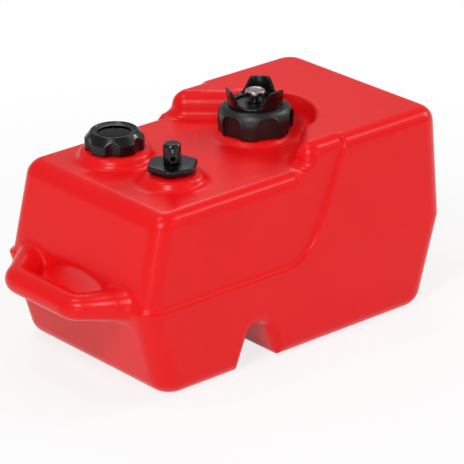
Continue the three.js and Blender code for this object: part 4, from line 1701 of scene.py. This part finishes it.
@dataclass
class FloatGauge:
    """The float gauge: bezel, window, dial, pointer, twisted strip, rods, float and foot."""

    fitter: Fitter
    bezel: float = 28.8 * MM
    skirt: float = 10.5 * MM
    rim: float = 22.9 * MM
    funnel: float = 21 * MM
    sight: float = 16.3 * MM
    neck: float = 20 * MM
    edge: float = 0.5 * MM
    rim_drop: float = 0.3 * MM
    funnel_taper: float = 0.6 * MM
    funnel_depth: float = 1.2 * MM
    step_depth: float = 1.3 * MM
    sight_rise: float = 1 * MM
    sight_lip: float = 0.9 * MM
    lobes: int = 6
    lobe_turn: float = 47.8
    scallop: float = 12 * MM
    scallop_depth: float = 3 * MM
    housing: float = 16.6 * MM
    housing_wall: float = 1.5 * MM
    housing_floor: float = 1.6 * MM
    flange: float = 1.6 * MM
    seal_bore: float = 17 * MM
    journal: float = 1.3 * MM
    dial_ticks: int = 5
    tick_swing: float = 270.0
    tick_half: float = 0.45 * MM
    tick_height: float = 0.15 * MM
    tick_start: float = 11.4 * MM
    tick_gap: float = 0.6 * MM
    pointer_length: float = 12 * MM
    pointer_hub: float = 3 * MM
    pointer_root: float = 0.6 * MM
    pointer_halves: tuple[float, float] = (0.8 * MM, 0.27 * MM)
    pointer_thickness: float = 1 * MM
    strip_width: float = 5 * MM
    strip_thickness: float = 0.8 * MM
    strip_twist: float = 270.0
    strip_cuts: int = 110
    travel: float = 135 * MM
    rod: float = 1.25 * MM
    rod_spread: float = 9 * MM
    float_radius: float = 14.5 * MM
    float_bore: float = 4 * MM
    float_key: float = 2 * MM
    key_sink: float = 0.3 * MM
    foot_radius: float = 12 * MM
    socket_depth: float = 2 * MM
    running: float = 0.4 * MM
    seat_gap: float = 0.3 * MM
    overrun: float = 20 * MM
    voxel: float = 0.42 * MM
    most_faces: int = 110000

    def __post_init__(self) -> None:
        """Reads the axis from the frame."""
        self.axis = axis_of("gauge_gasket")
        self.rods = [(self.axis[0], self.axis[1] + side * self.rod_spread) for side in (-1, 1)]

    def lobed_bezel(self) -> bpy.types.Object:
        """Builds the bezel: a skirt with six finger lobes, a tapered crown and a stepped funnel.

        Returns:
            The finished bezel.
        """
        low, top = span("gauge_bezel")
        lip = span("gauge_lens")[1] + self.seat_gap
        bore = self.neck + self.running
        step = (self.funnel + self.sight) / 2
        shoulder = low + self.skirt
        profile = [
            (bore, low), (self.bezel, low), (self.bezel, shoulder - self.edge),
            (self.bezel - self.edge, shoulder), (self.rim, top - self.rim_drop),
            (self.rim - self.edge, top), (self.funnel, top),
            (self.funnel - self.funnel_taper, top - self.funnel_depth),
            (step, top - self.step_depth), (step - self.edge, lip + self.sight_rise),
            (self.sight, lip + self.sight_lip), (self.sight, lip), (bore, lip),
        ]
        bezel = turned("gauge_bezel_ring", profile, self.axis, GRIP_STEPS)
        away = self.bezel + self.scallop - self.scallop_depth
        cut = square(0, self.scallop, low - self.overrun, top + self.overrun)
        for i in range(self.lobes):
            turn = math.radians(self.lobe_turn + i * 360 / self.lobes)
            centre = (self.axis[0] + away * math.cos(turn), self.axis[1] + away * math.sin(turn))
            work_in(bezel, turned("scallop", cut, centre), Join.CUT)
        return skinned(bezel, self.voxel, 2, self.most_faces)

    def dial(self) -> None:
        """Builds the housing, the dial with its ticks, and the window."""
        low, top = span("gauge_housing")
        hole = self.journal + self.running
        inner = self.housing - self.housing_wall
        floor = low + self.housing_floor
        flange = top - self.flange
        profile = [
            (hole, low), (self.housing, low), (self.housing, flange), (self.neck, flange),
            (self.neck, top), (inner, top), (inner, floor), (hole, floor),
        ]
        cup = turned("gauge_cup", profile, self.axis, rounding=0.3 * MM)
        self.fitter.fit(cup, "gauge_housing")
        low, top = span("gauge_dial")
        edge = inner - self.seat_gap
        disc = square(hole, edge, low, top)
        plate = turned("gauge_dial_plate", disc, self.axis, rounding=0.2 * MM)
        self.fitter.fit(plate, "gauge_dial")
        mark = square(-self.tick_half, self.tick_half, top, top + self.tick_height)
        start, end = self.tick_start, edge - self.tick_gap
        ticks = []
        for i in range(self.dial_ticks):
            turn = 180 - self.tick_swing * i / (self.dial_ticks - 1)
            ticks.append(pointing_out("dial_ticks", mark, start, end, turn, self.axis))
        self.fitter.add(joined(ticks), "gauge_dial", STAMPED_FOIL)
        pane = square(0, self.neck, *span("gauge_lens"))
        self.fitter.fit(turned("gauge_window", pane, self.axis, rounding=0.3 * MM), "gauge_lens")

    def pointer(self) -> bpy.types.Object:
        """Builds the pointer: a hub and a tapered blade.

        Returns:
            The finished pointer.
        """
        low, top = span("gauge_pointer")
        bore = self.journal + self.seat_gap
        hub = square(bore, self.pointer_hub, low, top)
        ring = turned("pointer", hub, self.axis, BORE_STEPS, rounding=0.25 * MM)
        start, end = bore + self.pointer_root, self.pointer_length
        wide, thin = self.pointer_halves
        plan = ((start, -wide), (end, -thin), (end, thin), (start, wide))
        outline = [Vector((x, y, low)) for x, y in plan]
        blade = pulled("blade", outline, Vector((0, 0, self.pointer_thickness)))
        return work_in(ring, aimed(blade, 180, self.axis), Join.FUSE)

    def strip(self) -> bpy.types.Object:
        """Builds the flat strip, twisted at an even rate, with a round journal at each end.

        Returns:
            The finished strip.
        """
        low, top = span("gauge_strip")
        foot = span("gauge_foot")[1] + self.seat_gap
        head = span("gauge_housing")[0] - 2 * self.seat_gap
        clear_selection()
        bpy.ops.mesh.primitive_cube_add(size=1, location=(0, 0, (foot + head) / 2))
        strip = named("twisted_strip")
        strip.scale = (self.strip_width, self.strip_thickness, head - foot)
        settle(strip)
        edit(strip, Pick.EDGES)
        select_where(strip, Pick.EDGES, upright_over(UPRIGHT))
        bpy.ops.mesh.subdivide(number_cuts=self.strip_cuts)
        mesh = bmesh.from_edit_mesh(strip.data)
        key = span("gauge_float")[1] - self.float_key / 2
        rate = math.radians(self.strip_twist) / self.travel
        for vertex in mesh.verts:
            vertex.co = Matrix.Rotation(rate * (vertex.co.z - key), 3, "Z") @ vertex.co
        bmesh.update_edit_mesh(strip.data)
        close_edit(strip)
        strip.location = (*self.axis, 0)
        settle(strip)
        for start, end in ((low, foot + self.seat_gap), (head - self.seat_gap, top)):
            journal = square(0, self.journal, start, end)
            work_in(strip, turned("journal", journal, self.axis, WIRE_STEPS), Join.FUSE)
        return strip

    def float_body(self) -> bpy.types.Object:
        """Builds the foam float with its bore, its key slot and the two rod holes.

        Returns:
            The finished float.
        """
        low, top = span("gauge_float")
        disc = square(0, self.float_radius, low, top)
        body = turned("float_body", disc, self.axis, rounding=1.2 * MM)
        key = top - self.float_key
        wide = self.strip_width / 2 + self.running
        deep = self.strip_thickness / 2 + self.running
        foot = key - self.key_sink
        outline = [Vector((x, y, foot)) for x, y in square(-wide, wide, -deep, deep)]
        slot = aimed(pulled("key_slot", outline, Vector((0, 0, self.overrun))), 0, self.axis)
        bored(body, [(self.axis, self.float_bore, low - self.overrun, key)])
        work_in(body, slot, Join.CUT)
        through = (self.rod + self.running, low - self.overrun, top + self.overrun)
        return bored(body, [(place, *through) for place in self.rods])

    def foot_disc(self) -> bpy.types.Object:
        """Builds the foot that holds the rods and the strip's lower journal.

        Returns:
            The finished foot.
        """
        low, top = span("gauge_foot")
        disc = square(0, self.foot_radius, low, top)
        foot = turned("gauge_foot_disc", disc, self.axis, rounding=0.5 * MM)
        floor = top + self.seat_gap - self.socket_depth
        ends = (floor, top + self.overrun)
        holes = [(self.axis, self.journal + self.seat_gap, *ends)]
        holes += [(place, self.rod + self.seat_gap, *ends) for place in self.rods]
        return bored(foot, holes)

    def build(self) -> None:
        """Builds the whole gauge from the bezel down."""
        self.fitter.fit(self.lobed_bezel(), "gauge_bezel")
        self.dial()
        ring = square(self.seal_bore, self.neck, *span("gauge_gasket"))
        self.fitter.fit(turned("gauge_seal", ring, self.axis, rounding=0.4 * MM), "gauge_gasket")
        self.fitter.fit(self.pointer(), "gauge_pointer")
        self.fitter.fit(self.strip(), "gauge_strip")
        for node, place in zip(("guide_rod_near", "guide_rod_far"), self.rods):
            profile = square(0, self.rod, *span(node))
            wire = turned(f"{node}_wire", profile, place, WIRE_STEPS, rounding=0.4 * MM)
            self.fitter.fit(wire, node)
        self.fitter.fit(self.float_body(), "gauge_float")
        self.fitter.fit(self.foot_disc(), "gauge_foot")


@dataclass
class PickupFitting:
    """The pickup: a hexagonal nut, the swivelling hose elbow, its tube and strainer.

    stem_top is the inset and the drop of each corner of the stem's chamfered top.
    """

    fitter: Fitter
    nut: float = 25.6 * MM
    nut_corner: float = 2.6 * MM
    nut_edge: float = 1.5 * MM
    nut_steps: tuple[int, int, int] = (6, 5, 3)
    nut_plug: float = 11.6 * MM
    plug_sink: float = 2.75 * MM
    nut_bore: float = 6.6 * MM
    stem: float = 8.5 * MM
    stem_top: tuple[Point, ...] = ((0, 2.4 * MM), (0.5 * MM, 1.5 * MM), (1.6 * MM, 0))
    spigot: float = 6.2 * MM
    nipple: float = 3.3 * MM
    nipple_bore: float = 2.2 * MM
    barb: float = 5.2 * MM
    barb_root: float = 4 * MM
    barb_bore: float = 2.6 * MM
    barb_reach: float = 24.5 * MM
    barb_height: float = 12.5 * MM
    barb_turn: float = 233.0
    barbs: int = 3
    nut_turn: float = -11.0
    tube: tuple[float, float] = (3.6 * MM, 5.2 * MM)
    seal: tuple[float, float] = (12 * MM, 15 * MM)
    strainer: float = 8 * MM
    strainer_socket: float = 5.5 * MM
    strainer_floor: float = 2 * MM
    strainer_slots: int = 6
    slot_width: float = 2.4 * MM
    slot_foot: float = 2.3 * MM
    slot_top: float = 2 * MM
    seat_gap: float = 0.3 * MM
    overrun: float = 20 * MM

    def __post_init__(self) -> None:
        """Reads the axis and the heights that the pieces share from the frame."""
        self.axis = axis_of("pickup_gasket")
        self.nut_low, self.nut_top = span("pickup_nut")
        self.foot = self.nut_top + self.seat_gap

    def hexagon(self) -> bpy.types.Object:
        """Builds the nut: a hexagon with well-rounded corners, soft rims, a plug and a bore.

        Returns:
            The finished nut.
        """
        head = span("pickup_gasket")[1] + self.seat_gap
        clear_selection()
        height = self.nut_top - head
        bpy.ops.mesh.primitive_cylinder_add(
            vertices=6, radius=self.nut, depth=height, location=(0, 0, head + height / 2)
        )
        nut = settle(named("pickup_hex_nut"))
        corner, crown, foot = self.nut_steps
        round_edges(nut, self.nut_corner, corner, upright_over(UPRIGHT))
        round_edges(nut, self.nut_edge, crown, flat_at(self.nut_top))
        round_edges(nut, self.nut_edge / 2, foot, flat_at(head))
        aimed(nut, self.barb_turn + self.nut_turn - 90, self.axis)
        plug = square(0, self.nut_plug, self.nut_low, self.nut_top - self.plug_sink)
        work_in(nut, turned("plug", plug, self.axis), Join.FUSE)
        ends = (self.nut_low - self.overrun, self.nut_top + self.overrun)
        bore = turned("bore", square(0, self.nut_bore, *ends), self.axis)
        return work_in(nut, bore, Join.CUT)

    def along_barb(self, piece: bpy.types.Object) -> bpy.types.Object:
        """Lays an upright solid made at the origin along the barb.

        Args:
            piece: The solid to lay down.

        Returns:
            The same object.
        """
        piece.rotation_euler = (0, math.pi / 2, 0)
        settle(piece)
        piece.rotation_euler = (0, 0, math.radians(self.barb_turn))
        piece.location = (*self.axis, self.foot + self.barb_height)
        return settle(piece)

    def elbow(self) -> bpy.types.Object:
        """Builds the elbow: a stem with a chamfered top and a barbed nozzle.

        Returns:
            The finished elbow.
        """
        low, top = span("pickup_elbow")
        spigot = span("pickup_tube")[1] + self.seat_gap
        profile = [
            (0, low), (self.nipple, low), (self.nipple, spigot), (self.spigot, spigot),
            (self.spigot, self.foot), (self.stem, self.foot),
            *[(self.stem - inset, top - drop) for inset, drop in self.stem_top], (0, top),
        ]
        elbow = turned("hose_elbow", profile, self.axis, rounding=0.5 * MM)
        run = self.barb_reach - self.stem
        starts = [self.stem + run * (i + 1) / (self.barbs + 1) for i in range(self.barbs)]
        ribs = [(self.barb_root, starts[0])]
        for start in starts:
            ribs += [(self.barb, start), (self.barb_root, start + run / (self.barbs + 1))]
        outline = [(0, 0), (self.barb_root, 0), *ribs, (0, self.barb_reach)]
        nozzle = turned("nozzle", outline, (0, 0), STEM_STEPS, rounding=0.3 * MM)
        work_in(elbow, self.along_barb(nozzle), Join.FUSE)
        along = square(0, self.barb_bore, 0, self.barb_reach + self.overrun)
        bore = turned("bore", along, (0, 0), BORE_STEPS)
        work_in(elbow, self.along_barb(bore), Join.CUT)
        down = square(0, self.nipple_bore, low - self.overrun, self.foot + self.barb_height)
        return work_in(elbow, turned("bore", down, self.axis, BORE_STEPS), Join.CUT)

    def strainer_cup(self) -> bpy.types.Object:
        """Builds the strainer: a slotted cup that the tube stands in.

        Returns:
            The finished strainer.
        """
        low, top = span("pickup_strainer")
        shelf = span("pickup_tube")[0] - self.seat_gap
        socket, floor = self.strainer_socket, low + self.strainer_floor
        profile = [
            (0, low), (self.strainer, low), (self.strainer, top), (socket, top), (socket, shelf),
            (self.nipple, shelf), (self.nipple, floor), (0, floor),
        ]
        cup = turned("strainer_cup", profile, self.axis, rounding=0.5 * MM)
        half = self.slot_width / 2
        window = square(-half, half, low + self.slot_foot, shelf - self.slot_top)
        for i in range(self.strainer_slots):
            turn = i * 360 / self.strainer_slots
            end = self.strainer + self.overrun
            work_in(cup, pointing_out("slot", window, 0, end, turn, self.axis), Join.CUT)
        return cup

    def build(self) -> None:
        """Builds the pickup from the nut down."""
        ring = square(*self.seal, *span("pickup_gasket"))
        self.fitter.fit(turned("pickup_seal", ring, self.axis, rounding=0.3 * MM), "pickup_gasket")
        self.fitter.fit(self.hexagon(), "pickup_nut")
        self.fitter.fit(self.elbow(), "pickup_elbow")
        wall = square(*self.tube, *span("pickup_tube"))
        tube = turned("pickup_hose_tube", wall, self.axis, STEM_STEPS, rounding=0.3 * MM)
        self.fitter.fit(tube, "pickup_tube")
        self.fitter.fit(self.strainer_cup(), "pickup_strainer")


# Studio


@dataclass
class Studio:
    """Pale floor, soft lights and the camera at the photograph's viewing angle."""

    front: float
    lens: float = 245.042
    place: tuple[float, float, float] = (-1611.17 * MM, -2184.43 * MM, 1285.65 * MM)
    yaw: float = 50.386
    pitch: float = 22.899
    roll: float = -1.142
    surround: float = 0.35
    shadow_reach: tuple[float, float] = (0.26, 0.8)
    shadow_cover: float = 0.8
    floor_size: float = 80
    lamp_aim: tuple[float, float, float] = (0, 0, 0.1)
    boxes: tuple[tuple[str, tuple[float, float, float], float, float], ...] = (
        ("key_box", (-1.6, -0.9, 1.8), 0.4, 24.0),
        ("top_box", (-0.5, 0.35, 1.9), 0.12, 4.0),
        ("edge_box", (1.4, -1.0, 1.9), 0.15, 5.0),
        ("low_box", (-2.0, -1.2, 0.42), 0.2, 3.5),
        ("right_box", (2.0, -0.6, 1.15), 0.4, 10.0),
        ("side_box", (0.6, -1.8, 1.0), 0.9, 3.0),
        ("rear_box", (0.9, 1.2, 1.6), 0.6, 5.0),
    )

    def build(self) -> None:
        """Sets the view, the floor, the world and the lamps."""
        scene = bpy.context.scene
        scene.view_settings.view_transform = "Standard"
        self.camera(scene)
        self.floor()
        self.world(scene)
        self.lamps()

    def camera(self, scene: bpy.types.Scene) -> None:
        """Puts the camera where the photograph's perspective says it stood.

        Args:
            scene: The scene that the camera belongs to.
        """
        data = bpy.data.cameras.new("camera")
        camera = bpy.data.objects.new("camera", data)
        scene.collection.objects.link(camera)
        scene.camera = camera
        data.sensor_width = 36.0
        data.lens = self.lens
        data.clip_end = 50.0
        yaw, pitch, roll = (math.radians(a) for a in (self.yaw, self.pitch, self.roll))
        level = math.cos(pitch)
        ahead = Vector((math.cos(yaw) * level, math.sin(yaw) * level, -math.sin(pitch)))
        turn = ahead.to_track_quat("-Z", "Y").to_matrix().to_4x4() @ Matrix.Rotation(roll, 4, "Z")
        place = Vector(self.place) + Vector((self.front, 0, 0))
        camera.matrix_world = Matrix.Translation(place) @ turn

    def floor(self) -> None:
        """A very large white floor."""
        clear_selection()
        bpy.ops.mesh.primitive_plane_add(size=self.floor_size, location=(0, 0, 0))
        floor = named("floor")
        graph = Graph("studio_floor")
        graph.shader.inputs["Base Color"].default_value = linear("#F6F6F6")
        graph.shader.inputs["Roughness"].default_value = 0.9
        graph.shader.inputs["Specular IOR Level"].default_value = 0.1
        self.white_beyond_shadow(graph)
        floor.data.materials.append(graph.material)

    def white_beyond_shadow(self, graph: Graph) -> None:
        """Shows the floor white to the eye and keeps the object's shadow close to it.

        Args:
            graph: The floor's material.
        """
        path = graph.add("ShaderNodeLightPath")
        seen = path.outputs["Is Camera Ray"]
        for ray in ("Is Glossy Ray", "Is Transmission Ray"):
            either = graph.add(
                "ShaderNodeMath", {0: seen, 1: path.outputs[ray]}, operation="MAXIMUM"
            )
            seen = either.outputs[0]
        away = graph.add("ShaderNodeVectorMath", {0: graph.place()}, operation="LENGTH")
        near, far = self.shadow_reach
        cover = graph.add(
            "ShaderNodeMapRange",
            {
                "Value": away.outputs["Value"],
                "From Min": near,
                "From Max": far,
                "To Min": self.shadow_cover,
            },
            interpolation_type="SMOOTHSTEP",
        )
        share = graph.add(
            "ShaderNodeMath", {0: seen, 1: cover.outputs["Result"]}, operation="MULTIPLY"
        )
        glow = graph.add("ShaderNodeEmission", {"Color": (1, 1, 1, 1), "Strength": 1.0})
        mix = graph.add(
            "ShaderNodeMixShader",
            {0: share.outputs[0], 1: graph.shader.outputs[0], 2: glow.outputs[0]},
        )
        output = graph.tree.nodes["Material Output"]
        graph.tree.links.new(mix.outputs[0], output.inputs["Surface"])

    def world(self, scene: bpy.types.Scene) -> None:
        """A soft grey surround that fills the shadows.

        Args:
            scene: The scene to light.
        """
        world = bpy.data.worlds.new("studio")
        scene.world = world
        world.use_nodes = True
        background = world.node_tree.nodes["Background"]
        background.inputs["Color"].default_value = (1, 1, 1, 1)
        background.inputs["Strength"].default_value = self.surround

    def lamps(self) -> None:
        """Soft boxes, with small ones where the long edges mirror them to the camera."""
        for name, place, size, power in self.boxes:
            data = bpy.data.lights.new(name, "AREA")
            data.size = size
            data.energy = power
            lamp = bpy.data.objects.new(name, data)
            bpy.context.scene.collection.objects.link(lamp)
            away = Vector(place) - Vector(self.lamp_aim)
            turn = away.to_track_quat("Z", "Y").to_matrix().to_4x4()
            lamp.matrix_world = Matrix.Translation(place) @ turn


def main() -> None:
    """Builds the studio and every piece, and reports each one."""
    logging.basicConfig(level=logging.INFO, format="%(name)s: %(message)s")
    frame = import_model()
    wardrobe = Wardrobe()
    for node, finish in NODE_FINISHES.items():
        wardrobe.dress(frame["nodes"][node], finish)
    fitter = Fitter(wardrobe, frame["record"])
    shell = TankShell(fitter)
    Studio(shell.front).build()
    shell.build()
    kinds = (FillerCap, VentScrew, FloatGauge, PickupFitting)
    for assembly in [kind(fitter) for kind in kinds]:
        assembly.build()
    LOG.info("%d pieces", len(fitter.fitted))


if __name__ == "__main__":
    main()
